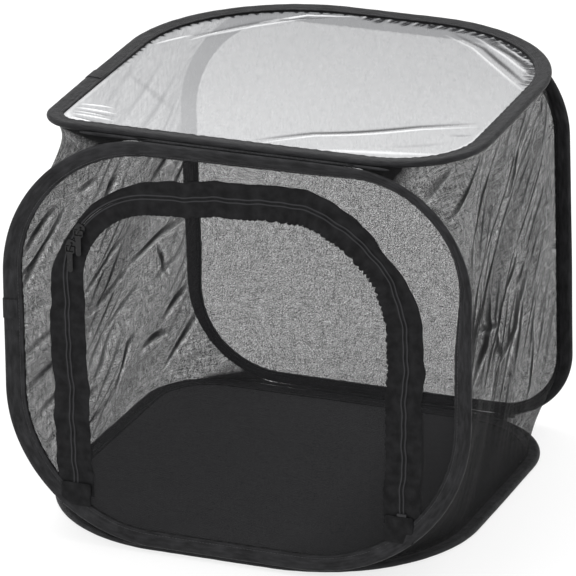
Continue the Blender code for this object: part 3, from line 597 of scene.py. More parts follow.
def make_whipping(name, seam, y_way, z_way):
    """Slanting stitches over a fold seam, seen from outside the cage."""
    low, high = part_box(seam)
    count = int((high.x - low.x) / WHIP_PITCH)
    x = np.linspace(low.x + WHIP_SPREAD, high.x - WHIP_SPREAD, count)
    middle = (low + high) / 2
    out = np.array([0.0, y_way, z_way])
    reach = PIPING_RADIUS - STITCH_RADIUS * 0.8
    middles = stack(x, middle.y, middle.z) + unit(out) * reach
    slant = np.where(np.arange(count) % 2 == 0, WHIP_SLANT, -WHIP_SLANT)
    outs = np.tile(out, (count, 1))
    return sew_stitches(name, middles, stack(slant, -z_way, y_way), outs, 2 * WHIP_SPREAD)


for seam, y_way, z_way, body in (("fold_seam_front_low", -1, -1, "base"),
                                 ("fold_seam_back_low", 1, -1, "base"),
                                 ("fold_seam_front_high", -1, 1, "top_panel"),
                                 ("fold_seam_back_high", 1, 1, "top_panel")):
    fit(make_piping(seam), binding_tape, body, seam)
    fit(make_whipping(seam + "_whipping", seam, y_way, z_way), black_thread, body)

# Floor: solid black cloth, cut to the bottom panel and caught in its binding all round.
# It is not quite taut, so it lies in low broad swells.
PANEL_TUCK = 0.0036
FLOOR_CELLS = 90
FLOOR_WALL = 0.0004
FLOOR_SWELL = 0.0007
CLOTH_PITCH = 0.00062       # of its threads
TWILL_PITCH = 0.0034


def at_turn(turn, outline):
    """The points of an outline round the origin at the angles given."""
    around = np.arctan2(outline[:, 1], outline[:, 0])
    return stack(*[np.interp(turn, around, column, period=2 * math.pi)
                   for column in outline.T])


def patch(outline, cells, centre=(0.0, 0.0)):
    """A square grid of places that fills a closed outline."""
    steps = np.linspace(-1.0, 1.0, cells + 1)
    u, v = np.meshgrid(steps, steps, indexing="ij")
    reach = np.maximum(np.abs(u), np.abs(v))
    offset = outline - centre
    size = np.abs(offset).max(axis=0)
    turn = np.arctan2(v * size[1], u * size[0])
    x, y = np.moveaxis(centre + reach[..., None] * at_turn(turn, offset), -1, 0)
    return x, y, reach


def panel_cut(panel):
    """The outline that a panel's sheet is cut to, caught inside the binding."""
    points, inwards, _ = rim_course(panel)
    return points + inwards * PANEL_TUCK


def sheet_area(outline):
    x, y = outline.T
    return abs(np.sum(x * np.roll(y, -1) - y * np.roll(x, -1))) / 2


def swells(x, y, depth):
    """Broad, low, uneven swells of a cloth that is not quite taut."""
    return depth * (np.sin(17 * x + 9 * y + 0.6) * np.sin(13 * y - 6 * x + 1.1)
                    + 0.4 * np.sin(38 * x - 21 * y) + 0.25 * np.sin(55 * y + 31 * x + 2.0))


def cloth_finish():
    finish = Finish("black_floor_cloth", "floor_cloth", (0.01, 0.01, 0.011), 0.7,
                    Sheen_Weight=0.03, Specular_IOR_Level=0.12)
    run, across = finish.cloth()
    warp = run.wave(CLOTH_PITCH)
    weft = across.wave(CLOTH_PITCH)
    cloud = finish.noise((run, across), 24.0, 4.0)
    slub = finish.noise((run * 12.0, across), 260.0)
    thread = warp * weft
    wander = finish.noise((run, across), 14.0)
    twill = (run * 0.35 + across + 0.035 * wander).wave(TWILL_PITCH)
    light = 0.25 * thread + 0.35 * cloud + 0.15 * slub + 0.25 * twill
    colour = finish.mix(light, (0.020, 0.020, 0.021), (0.084, 0.084, 0.088))
    # Painted shade: the cloth turns much darker towards its right edge, from 5 cm right of
    # its middle, and fully past 14 cm.
    new = run.step(0.05, 0.14)
    finish.put("Base Color", finish.mix(0.9 * new, colour, (0.005, 0.005, 0.0053)))
    finish.put("Roughness", 0.6 + 0.25 * cloud)
    finish.emboss(thread * 0.7 + slub * 0.5 + twill, 0.0001)
    return finish


def make_floor():
    x, y, reach = patch(panel_cut("base"), FLOOR_CELLS)
    rise = swells(x, y, FLOOR_SWELL) * (1 - reach ** 6)
    top = panel_point("base", x, y, rise + FLOOR_WALL)
    piece = sew("floor_cloth_laid", top, stack(x, y))
    thickness = piece.modifiers.new("cloth", "SOLIDIFY")
    thickness.thickness = 2 * FLOOR_WALL
    thickness.offset = -1.0
    return piece


floor = fit(make_floor(), cloth_finish(), "base", "floor_cloth")
panel_cut("base")

# Flat nets: fine black netting of round threads, stretched over the back and the front.
# The front net has the door's arch cut out, and its edge is sewn under the zip's tape.
NET_PITCH = 0.00085
THREAD_DRIFT = 0.0018        # how far the threads wander from their straight lines
NET_CELLS = 80
BACK_NET_SWELL = 0.0005
ARCH_SIDE_MARGIN = 0.0593
ARCH_TOP_MARGIN = 0.0404
ARCH_LEFT_DROP = 0.0092
ARCH_LEFT_LEAN = 0.0075
ARCH_RIGHT_LEAN = 0.0030
ARCH_LEFT_RADIUS = 0.085
ARCH_RIGHT_RADIUS = 0.114
ARCH_HALF_WIDTH = SHAPES["front"]["half_width"] - ARCH_SIDE_MARGIN
FRONT_LOW, FRONT_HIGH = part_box("front_binding")
FRONT_MIDDLE = (FRONT_LOW + FRONT_HIGH) / 2
ARCH_TOP = FRONT_HIGH.z - ARCH_TOP_MARGIN
ARCH_STEPS = 40
ZIP_TAPE_WIDTH = 0.0165
NET_LAP = 0.0065
ZIP_END_LEFT = 0.0585
ZIP_END_RIGHT = 0.0745
TAPE_RUN_ON = 0.012         # how far the tapes go on under the tabs
DOOR_NET_EASE = 0.001       # less of its edge under the inner tape
HOLE_SPACING = 0.003
HOLE_FOOT_STEPS = 79
FRONT_NET_COLUMNS = 480
FRONT_NET_ROWS = 8
DOOR_FOOT = 0.066           # where the door's net leaves the front net, under its hinge


def arch_corner(side):
    """Radius and centre (x, z) of the arc at the arch's left or right shoulder."""
    if side < 0:
        return (ARCH_LEFT_RADIUS, ARCH_LEFT_RADIUS - ARCH_HALF_WIDTH,
                ARCH_TOP - ARCH_LEFT_DROP - ARCH_LEFT_RADIUS)
    return (ARCH_RIGHT_RADIUS, ARCH_HALF_WIDTH - ARCH_RIGHT_RADIUS,
            ARCH_TOP - ARCH_RIGHT_RADIUS)


def arch_slope():
    """Degrees by which the arch's straight top rises to the right, touching both arcs."""
    left_radius, left_x, left_z = arch_corner(-1)
    right_radius, right_x, right_z = arch_corner(1)
    apart = math.hypot(right_x - left_x, right_z - left_z)
    return math.degrees(math.atan2(right_z - left_z, right_x - left_x)
                        + math.asin((right_radius - left_radius) / apart))


def leg_line(side, height):
    """How far to a side the zip's line is, on its leg, at a height."""
    lean = ARCH_LEFT_LEAN if side < 0 else ARCH_RIGHT_LEAN
    spring = arch_corner(side)[2]
    return ARCH_HALF_WIDTH - lean * max(spring - height, 0.0) / spring


def arch_course(left_foot, right_foot, spacing):
    """The line where the zip's tapes meet, from the left foot over to the right one."""
    rows = [(-leg_line(-1, left_foot), left_foot, 1.0, 0.0)]
    shoulder = 90.0 + arch_slope()
    for side, first, last in ((-1, 180.0, shoulder), (1, shoulder, 0.0)):
        radius, *centre = arch_corner(side)
        rows += arc(centre, radius, first, last, ARCH_STEPS)
    rows.append((leg_line(1, right_foot), right_foot, -1.0, 0.0))
    return even_course(rows, spacing, closed=False)


def net_finish(name, gathered, bias=0.0, glow=0.015, grain=0.45, draw=1.0, tone=1.0):
    """Netting: two sets of uneven threads with holes between. Bias turns them against the
    chart, glow is their sheen, grain how uneven they are, draw how short their uneven
    stretches are, and tone how light they are, lower on the side nets as painted shade.
    Where it is gathered, the holes close, tight gathers get painted shade, and the glint
    chart paints highlights."""
    finish = Finish(name, "black_net", (0.012, 0.012, 0.013), 0.75, Sheen_Weight=glow,
                    Specular_IOR_Level=0.1)
    run, across = finish.cloth()
    drift = finish.noise((run, across, 7.0), 520.0, 1.0)
    warp_size = finish.noise((run * draw, across * 0.15), 640.0, 1.0)
    weft_size = finish.noise((run * 0.15 * draw, across, 3.0), 640.0, 1.0)
    first = run * math.cos(bias) + across * math.sin(bias) + THREAD_DRIFT * drift
    second = across * math.cos(bias) - run * math.sin(bias) + THREAD_DRIFT * drift
    warp = (first.wave(NET_PITCH) + grain * (warp_size - 0.5)).step(0.63, 0.91)
    weft = (second.wave(NET_PITCH) + grain * (weft_size - 0.5)).step(0.63, 0.91)
    open_share = (1.0 - warp) * (1.0 - weft)
    light = finish.noise((run, across), 30.0) * 0.6 + 0.4 * warp
    colour = finish.mix(light, (0.006 * tone, 0.006 * tone, 0.0065 * tone),
                        (0.020 * tone, 0.020 * tone, 0.0215 * tone))
    if gathered:
        gather, glint = finish.cloth("Gather")
        open_share = open_share * (1.0 - gather)
        # Painted shade: the threads are made darker where the netting is gathered tight.
        colour = finish.mix(gather.step(0.6, 0.95), colour, (0.004, 0.004, 0.0042))
        # Painted highlight: the glint chart makes the threads lighter along the folds.
        colour = finish.mix(glint, colour, (0.11, 0.11, 0.115))
    finish.put("Base Color", colour)
    finish.put("Alpha", 1.0 - open_share)
    finish.put("Roughness", 0.62 + 0.2 * light)
    finish.emboss(warp + weft, 0.0001)
    return finish


back_netting = net_finish("black_netting_back", gathered=False, bias=math.radians(45.0))


def make_back_net():
    x, y, reach = patch(panel_cut("back"), NET_CELLS)
    grid = panel_point("back", x, y, swells(x, y, BACK_NET_SWELL) * (1 - reach ** 4))
    return sew("back_net_stretched", grid, grid[:, :, [0, 2]])


back_net = fit(make_back_net(), back_netting, "back_panel", "back_net")
panel_cut("back")


# The outer tape's width, by the distance from its left foot: its edge turns under at the
# two shoulders of the arch
OUTER_WIDTHS = [(0.17, 0.0162), (0.205, 0.0128), (0.23, 0.0068), (0.258, 0.0032),
                (0.298, 0.0072), (0.333, 0.0128), (0.36, 0.0160), (0.50, 0.0162),
                (0.535, 0.0115), (0.556, 0.0085), (0.575, 0.0120), (0.60, 0.0165)]


def door_hole(edge):
    """The door's outline as (x, z) points: -1 for the front net's edge, under the outer
    tape, and 1 for the door net's edge, under the inner one."""
    points, inwards, at = arch_course(DOOR_FOOT, DOOR_FOOT, HOLE_SPACING)
    width = read_table(OUTER_WIDTHS, at + DOOR_FOOT - ZIP_END_LEFT + TAPE_RUN_ON)
    inset = np.minimum(NET_LAP, 0.6 * width) - width
    if edge > 0:
        inset = np.full_like(at, ZIP_TAPE_WIDTH - NET_LAP - DOOR_NET_EASE)
    arch = points + inwards * inset[:, None]
    foot = np.linspace(arch[-1], arch[0], HOLE_FOOT_STEPS + 1)
    return np.vstack([arch, foot[1:-1]])


def make_front_net():
    """Netting between the rim and the door's arch."""
    centre = np.array([0.0, FRONT_MIDDLE.z])
    rim = panel_point("front", *panel_cut("front").T, 0.0)[:, [0, 2]]
    hole = door_hole(-1)
    turn = np.linspace(-math.pi, math.pi, FRONT_NET_COLUMNS + 1)[:-1]
    share = np.linspace(0.0, 1.0, FRONT_NET_ROWS + 1)[:, None, None]
    flat = (centre + at_turn(turn, hole - centre) * (1 - share)
            + at_turn(turn, rim - centre) * share)
    grid = stack(flat[..., 0], FRONT_MIDDLE.y, flat[..., 1])
    weave = np.concatenate([flat, flat[:, :1]], axis=1)
    return sew("front_net_stretched", grid, weave, wrap_across=True), sheet_area(hole)


flat_net = net_finish("black_netting", gathered=False)
front_net, hole_area = make_front_net()
fit(front_net, flat_net, "front_panel", "front_net")
panel_cut("front")

# Door net: the piece inside the arch, sewn to the zip's inner tape. It hangs on its own
# uncut lower edge, where the netting bends when the door is opened.
DOOR_NET_SWELL = 0.0006


def bend_with_door(piece):
    """Bakes the piece's place into its points."""
    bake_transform(piece)


def make_door_net():
    x, z, reach = patch(door_hole(1), NET_CELLS, (0.0, FRONT_MIDDLE.z))
    slack = swells(x, z, DOOR_NET_SWELL) * (1 - reach ** 4)
    grid = stack(x, FRONT_MIDDLE.y + slack, z)
    return sew("door_net_stretched", grid, stack(x, z))


door_net = fit(make_door_net(), flat_net, None, "door_net")
bend_with_door(door_net)
door_hole(1)

# Zip tapes: two woven black tapes that meet face to face over the coil, so that each has
# a rolled edge there. The inner one is sewn to the door with its edge drawn into puckers.
ZIP_SPACING = 0.0012
GROOVE_HALF = 0.00008
TAPE_FRONT = 0.00095        # the flat tape's face, out from the panel's middle
TAPE_REAR = 0.00055
ROLL_FRONT = 0.00155        # the rolled edge's face
ROLL_WIDTH = 0.0030
ROLL_MIDDLE = 0.0013        # of the roll, from the coil
ROLL_HALF = 0.0016
DENT_MIDDLE = 0.0036        # of the dent beside the roll
DENT_WIDTH = 0.0006
DENT_DEPTH = 0.0002
TURN_START = 0.0026         # from here on a narrow stretch is turned under
# Where the tape's section has its points, out from the coil
ZIP_STATIONS = (0.0, 0.0003, 0.0011, 0.0020, TURN_START, ROLL_WIDTH, 0.0042, 0.0060,
                0.0080, 0.0100, 0.0120, 0.0140, 0.0155, 0.0162, ZIP_TAPE_WIDTH)
PUCKER_PITCH = 0.0066
PUCKER_DEPTH = 0.0021
PUCKER_LIFT = 0.0016
OUTER_WAVER = 0.0004
OUTER_LIFT = 0.0003
# How strong the puckers are, by the distance from the zip's left foot
PUCKER_SIZES = [(0.0, 0.15), (0.18, 0.2), (0.24, 0.5), (0.32, 0.35), (0.40, 0.4),
                (0.46, 0.9), (0.54, 1.1), (0.62, 1.0), (0.68, 0.6), (0.80, 0.4)]


def zip_tape_finish(name, slot):
    """Woven zip tape: fine ribs along it and small diagonal threads between them, and a
    painted highlight on the rolled edge's crest.
    """
    finish = Finish(name, slot, (0.009, 0.009, 0.01), 0.65,
                    Sheen_Weight=0.01, Specular_IOR_Level=0.08)
    run, across = finish.cloth()
    rib = across.wave(0.0012)
    twill = (run + across).wave(0.0009)
    cloud = finish.noise((run, across), 110.0, 3.0)
    fuzz = finish.noise((run, across), 1800.0)
    light = 0.15 * rib + 0.15 * twill + 0.5 * cloud.step(0.35, 0.68) + 0.2 * fuzz
    colour = finish.mix(light, (0.0016, 0.0016, 0.0018), (0.018, 0.018, 0.019))
    # Painted highlight: a lighter line on the crest of the rolled edge, beside the coil.
    crest_highlight = across.step(0.0009, 0.0013) * (1.0 - across.step(0.0019, 0.0025))
    finish.put("Base Color", finish.mix(0.8 * crest_highlight * (0.5 + 0.5 * fuzz), colour,
                                        (0.048, 0.048, 0.051)))
    finish.put("Roughness", 0.5 + 0.2 * cloud + 0.1 * fuzz)
    finish.emboss(rib * 0.4 + twill * 0.35 + fuzz * 0.3, 0.00012)
    return finish


def zip_waver(at):
    """The zip's line wanders a little, because it is sewn to loose net; less so where the
    sliders hold it."""
    free = np.clip((np.abs(at - 0.27) - 0.064) / 0.03, 0.0, 1.0)
    return free * (0.0006 * np.sin(at / 0.0135 + 0.4) + 0.0005 * np.sin(at / 0.0071)
                   + 0.0003 * np.sin(at / 0.0032 + 1.0))


def make_zip_tape(name, side):
    """A tape's strip along the arch: side is 1 for the inner tape, -1 for the outer."""
    points, inwards, at = arch_course(ZIP_END_LEFT - TAPE_RUN_ON,
                                      ZIP_END_RIGHT - TAPE_RUN_ON, ZIP_SPACING)
    across = np.array(ZIP_STATIONS)
    share = across / ZIP_TAPE_WIDTH
    roll = np.sqrt(np.clip(1 - ((across - ROLL_MIDDLE) / ROLL_HALF) ** 2, 0, 1))
    dent = DENT_DEPTH * np.exp(-((across - DENT_MIDDLE) / DENT_WIDTH) ** 2)
    face = TAPE_FRONT + (ROLL_FRONT - TAPE_FRONT) * roll - dent
    narrow = 1.0
    if side > 0:
        phase = math.pi * (at / PUCKER_PITCH + 0.45 * np.sin(at / 0.013)
                           + 0.3 * np.sin(at / 0.0069 + 1.0))
        size = read_table(PUCKER_SIZES, at) * (0.8 + 0.2 * np.sin(at / 0.017))
        lobe = np.abs(np.sin(phase)) ** 0.7 - 0.6
        scallop = PUCKER_DEPTH * (size * lobe)[:, None] * share ** 4
        lift = PUCKER_LIFT * (size * np.abs(np.sin(phase)))[:, None] * share ** 2
    else:
        wave = np.sin(at / 0.0102) + 0.5 * np.sin(at / 0.0037 + 0.5)
        scallop = OUTER_WAVER * wave[:, None] * share ** 3
        lift = OUTER_LIFT * (1 + np.sin(at / 0.0048))[:, None] * share ** 2
        narrow = read_table(OUTER_WIDTHS, at)[:, None] / ZIP_TAPE_WIDTH
    drawn = np.minimum(across, TURN_START) + narrow * np.maximum(across - TURN_START, 0.0)
    offset = side * (GROOVE_HALF + drawn + scallop) + zip_waver(at)[:, None]
    x, z = np.moveaxis(points[:, None] + inwards[:, None] * offset[..., None], -1, 0)
    front = stack(x, FRONT_MIDDLE.y - face - lift, z)
    rear = stack(x, FRONT_MIDDLE.y - np.minimum(TAPE_REAR, face) - lift, z)
    grid = np.concatenate([front, rear[:, ::-1]], axis=1)
    girth = np.concatenate([across, across[::-1] + 0.02, [0.02]])
    return sew_tube(name, grid, at, girth)


zip_tape = zip_tape_finish("black_zip_tape", "zip_tape")
fit(make_zip_tape("zip_outer_tape_sewn", -1), zip_tape, "front_panel", "zip_outer_tape")
inner_tape = make_zip_tape("zip_inner_tape_sewn", 1)
bend_with_door(fit(inner_tape, zip_tape, None, "zip_inner_tape"))

# Coils: the teeth are a continuous spiral of black nylon on each tape's inner side. The
# two spirals lock into each other when the slider passes.
COIL_PITCH = 0.0013
COIL_WIDTH = 0.0024
COIL_DEPTH = 0.0017
COIL_WIRE = 0.00030
COIL_BEHIND = 0.0002        # the panel's middle, where the spiral starts
COIL_STEPS = 9
COIL_SIDES = 5


def coil_finish():
    finish = Finish("black_nylon_coil", "zip_teeth", (0.014, 0.014, 0.015), 0.28,
                    Specular_IOR_Level=0.25)
    mottle = finish.noise(finish.place(), 700.0)
    finish.put("Base Color", finish.mix(mottle, (0.008, 0.008, 0.009),
                                        (0.03, 0.03, 0.032)))
    finish.put("Roughness", 0.2 + 0.2 * mottle)
    finish.emboss(mottle, 0.00003)
    return finish


def make_coil(name, side, start):
    points, inwards, at = arch_course(ZIP_END_LEFT, ZIP_END_RIGHT, COIL_PITCH / COIL_STEPS)
    turn = 2 * math.pi * at / COIL_PITCH + start
    middle = GROOVE_HALF + COIL_WIRE + COIL_WIDTH / 2
    reach = side * (middle + (COIL_WIDTH / 2 - COIL_WIRE) * np.cos(turn))
    x, z = (points + inwards * (reach + zip_waver(at + TAPE_RUN_ON))[:, None]).T
    depth = COIL_DEPTH / 2 * (1 + np.sin(turn)) + COIL_BEHIND
    line = stack(x, FRONT_MIDDLE.y + depth, z)
    way = unit(np.gradient(line, axis=0))
    out = stack(side * inwards[:, 0] * np.cos(turn), np.sin(turn),
                side * inwards[:, 1] * np.cos(turn))
    out = unit(out - way * np.sum(out * way, axis=1, keepdims=True))
    other = np.cross(way, out)
    turns = 2 * math.pi * np.arange(COIL_SIDES + 1) / COIL_SIDES
    round_wire = turns[:-1, None]
    grid = line[:, None] + COIL_WIRE * (np.cos(round_wire) * out[:, None]
                                        + np.sin(round_wire) * other[:, None])
    return sew_tube(name, grid, at, COIL_WIRE * turns)


nylon = coil_finish()
fit(make_coil("zip_outer_coil", -1, 0.0), nylon, "front_panel", "zip_outer_chain")
inner_coil = make_coil("zip_inner_coil", 1, math.pi)
bend_with_door(fit(inner_coil, nylon, None, "zip_inner_chain"))

# Zip ends: a cloth tab is sewn over each foot of the zip, down to the binding. On the
# right a moulded bar stops the slider just above the tab.
TAB_COLUMNS = 16
TAB_ROWS = 14
TAB_WALL = 0.0007
TAB_CORNER = 0.0012
TAB_BULGE = 0.0006
TAB_RIPPLE = 0.0002
TAB_CLOTH = 0.015           # half the width of its cloth on the chart


def make_tab(name, node):
    """A folded tab over the tapes: it is raised in the middle by the coil under it."""
    low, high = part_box(node)
    width, _, height = high - low
    u = np.linspace(-1.0, 1.0, TAB_COLUMNS + 1)
    v = np.linspace(0.0, 1.0, TAB_ROWS + 1)[:, None]
    corner = TAB_CORNER * np.clip(np.abs(u) * 6 - 5, 0, 1) ** 2
    x = (low.x + high.x) / 2 + width / 2 * u * (1 + 0.012 * np.sin(9 * v + 1.0))
    z = low.z + height * v - corner * (v > 0.9)
    bulge = TAB_BULGE * np.exp(-(u * 3.2) ** 2) + TAB_RIPPLE * np.sin(7 * u + 4 * v)
    front = stack(x, low.y - bulge, z)
    rear = stack(x, low.y - bulge + TAB_WALL, z)
    grid = np.concatenate([front, rear[:, ::-1]], axis=1)
    out = (u + 1) * TAB_CLOTH
    girth = np.concatenate([out, 4 * TAB_CLOTH - out[::-1], [4 * TAB_CLOTH]])
    return sew_tube(name, grid, v[:, 0] * height, girth + ROLL_WIDTH)


tab_tape = zip_tape_finish("black_tab_tape", "binding_tape")
for side in ("left", "right"):
    node = "zip_end_tab_" + side
    fit(make_tab(node + "_folded", node), tab_tape, "front_panel", node)
paint_nodes(nylon, "zip_end_stop")

# Sliders and pulls: cast zinc with black enamel, rubbed down to the metal on the edges.
# Each pull hangs in its slider's bail by the bar above its window.
EDGE_ROUNDING = 0.00018
EDGE_ANGLE = 35.0           # the least bend that is rounded, in degrees


def enamel_finish():
    finish = Finish("black_enamelled_zinc", "zip_slider", (0.02, 0.02, 0.022), 0.3,
                    Coat_Roughness=0.15, Specular_IOR_Level=0.2)
    place = finish.place()
    speck = finish.noise(place, 1400.0, 3.0)
    rub = finish.noise(place, 420.0, 3.0).step(0.56, 0.7)
    finish.put("Base Color", finish.mix(rub, (0.006, 0.006, 0.0065), (0.045, 0.044, 0.043)))
    finish.put("Metallic", 0.1 + 0.8 * rub)
    finish.put("Roughness", 0.2 + 0.25 * speck)
    finish.put("Coat Weight", 0.25 - 0.2 * rub)
    finish.emboss(speck, 0.00004)
    return finish


enamel = enamel_finish()
for node in ("upper_slider", "lower_slider", "upper_pull", "lower_pull"):
    paint_nodes(enamel, node)
    edge = frame["nodes"][node].modifiers.new("rounded edges", "BEVEL")
    edge.width = EDGE_ROUNDING
    edge.segments = 2
    edge.limit_method = "ANGLE"
    edge.angle_limit = math.radians(EDGE_ANGLE)

# Side nets: loose netting with no hoop of its own, sewn to the four bindings and much
# too large for the gap between them, so that it hangs in slanting folds and pleats.
HALF_DEPTH = 0.1907          # from the middle to the fold seams
SIDE_NET_INSET = 0.0006
SIDE_NET_TUCK = 0.0110       # from the rims to the net's seam
SIDE_NET_LAP = 0.0022        # of its edge into the bindings
SIDE_NET_CELLS = 200
SIDE_CORNER_SPAN = 0.002     # where the net starts, at each of its corners
SIDE_CORNER_TUCK = 0.008     # further in than the rims there
SIDE_NET_SAG = 0.010
RIM_PULL = 1.5
SLACK_SPREAD = 0.6
FOLD_DEPTH = 0.0045
FINE_DEPTH = 0.0012
FINER_DEPTH = 0.0005
CORNER_GATHER = 0.011        # how far the gathers reach from each corner
FOLD_STEEPNESS = 0.65
FOLD_LEANS = {-1: -0.30, 1: -0.80}
SEAM_GAP = 0.00028
HINGE_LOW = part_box("base_binding")[1].z + SEAM_GAP
HINGE_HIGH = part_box("top_binding")[0].z - SEAM_GAP
# Pleats seen on each net: width in millimetres, how dark (closed holes and painted
# shade), and then its points' y and z
PLEATS = {
    1: [
        (5.0, 1.0, -36, 373, -52, 358, -90, 333, -106, 299, -118, 264),
        (3.0, 0.8, -95, 375, -135, 359, -181, 342),
        (2.5, 0.6, -147, 382, -174, 369, -189, 359),
        (5.0, 1.0, 81, 364, 91, 349, 98, 337),
        (4.0, 0.8, 6, 346, 2, 310, -26, 294, -49, 285, -67, 251),
        (4.0, 0.8, 43, 361, 24, 337, 22, 316, 8, 295),
        (5.0, 0.9, 111, 213, 90, 204, 61, 190),
        (4.0, 0.8, 71, 222, 51, 209, 28, 193),
        (5.0, 0.9, 27, 208, -1, 185, -8, 159),
        (3.5, 0.8, -10, 184, -56, 195),
        (5.0, 0.8, -9, 177, 31, 132),
        (4.5, 0.9, -23, 222, -44, 178, -82, 141),
        (4.5, 0.9, -66, 234, -99, 199, -125, 156),
        (5.0, 0.9, 82, 192, 69, 149, 26, 125),
        (4.0, 0.8, -101, 256, -111, 218, -121, 184),
        (4.5, 0.9, 113, 200, 81, 169, 55, 126, 37, 93),
        (4.5, 0.8, 131, 123, 115, 72, 104, 60),
        (4.0, 0.7, 67, 334, 30, 307, -13, 271, -48, 230),
        (3.5, 0.6, 130, 300, 96, 262, 60, 236),
        (3.5, 0.6, 150, 262, 112, 236, 84, 206),
    ],
    -1: [
        (4.0, 0.9, 157, 179, 103, 181, 73, 181, 12, 181),
        (4.0, 0.8, 14, 214, -20, 209, -84, 183),
        (4.0, 0.8, 95, 173, 105, 153, 113, 133),
        (4.5, 1.0, 171, 109, 140, 100, 109, 88),
        (4.5, 1.0, 186, 77, 175, 68, 165, 60, 130, 31),
        (4.0, 0.8, -14, 284, -27, 276, -40, 264),
        (4.0, 0.7, -53, 293, -76, 293, -98, 293),
        (4.0, 0.9, -127, 292, -144, 286, -163, 274, -182, 259),
        (4.5, 0.9, 131, 73, 100, 78, 69, 77),
        (4.5, 0.8, 43, 107, 25, 99, 19, 76, 16, 48),
        (3.5, 0.6, -4, 125, -29, 100, -54, 90),
        (3.5, 0.7, 28, 180, -36, 167, -70, 162),
        (4.0, 0.8, -136, 261, -163, 247, -186, 240),
        (4.0, 0.8, -113, 290, -157, 248, -188, 225),
        (3.5, 0.6, 60, 150, 10, 138, -30, 128),
        (3.5, 0.5, 160, 150, 120, 146, 70, 140),
    ],
}
PLEAT_RISE = 0.0022


def rim_reach(panel, side, edge, along):
    """How far out a panel's rim is, at a distance along it from its low or high edge."""
    shape = SHAPES[panel]
    half_h = half_height(panel)
    radius = corner_radius(panel, side, edge)
    along = np.clip(along, 0.0, half_h)
    fall = np.clip(radius - along, 0.0, radius)
    reach = shape["half_width"] - SIDE_NET_TUCK - radius + np.sqrt(radius ** 2 - fall ** 2)
    up = edge * (half_h - along)
    across = side * reach * (1 - SIDE_BULGE * (up / half_h) ** 2)
    return side * (across + shape["sway"] * up / half_h + shape["offset"])


def pleat_profile(points, y, z):
    """Distance from each place to a pleat's line, signed by side, and the share of the
    line's length at the nearest place on it."""
    line = np.reshape(points, (-1, 2)) / 1000
    spans = np.diff(line, axis=0)
    starts = distance_run(line)
    best = np.full(y.shape, np.inf)
    signed = np.zeros(y.shape)
    share = np.zeros(y.shape)
    for start, span, run in zip(line, spans, starts):
        dy = y - start[0]
        dz = z - start[1]
        length = math.hypot(*span)
        t = np.clip((dy * span[0] + dz * span[1]) / length ** 2, 0.0, 1.0)
        away = np.hypot(dy - t * span[0], dz - t * span[1])
        nearer = away < best
        best = np.where(nearer, away, best)
        side = np.sign(span[0] * dz - span[1] * dy)
        signed = np.where(nearer, side * away, signed)
        share = np.where(nearer, (run + t * length) / starts[-1], share)
    return signed, share


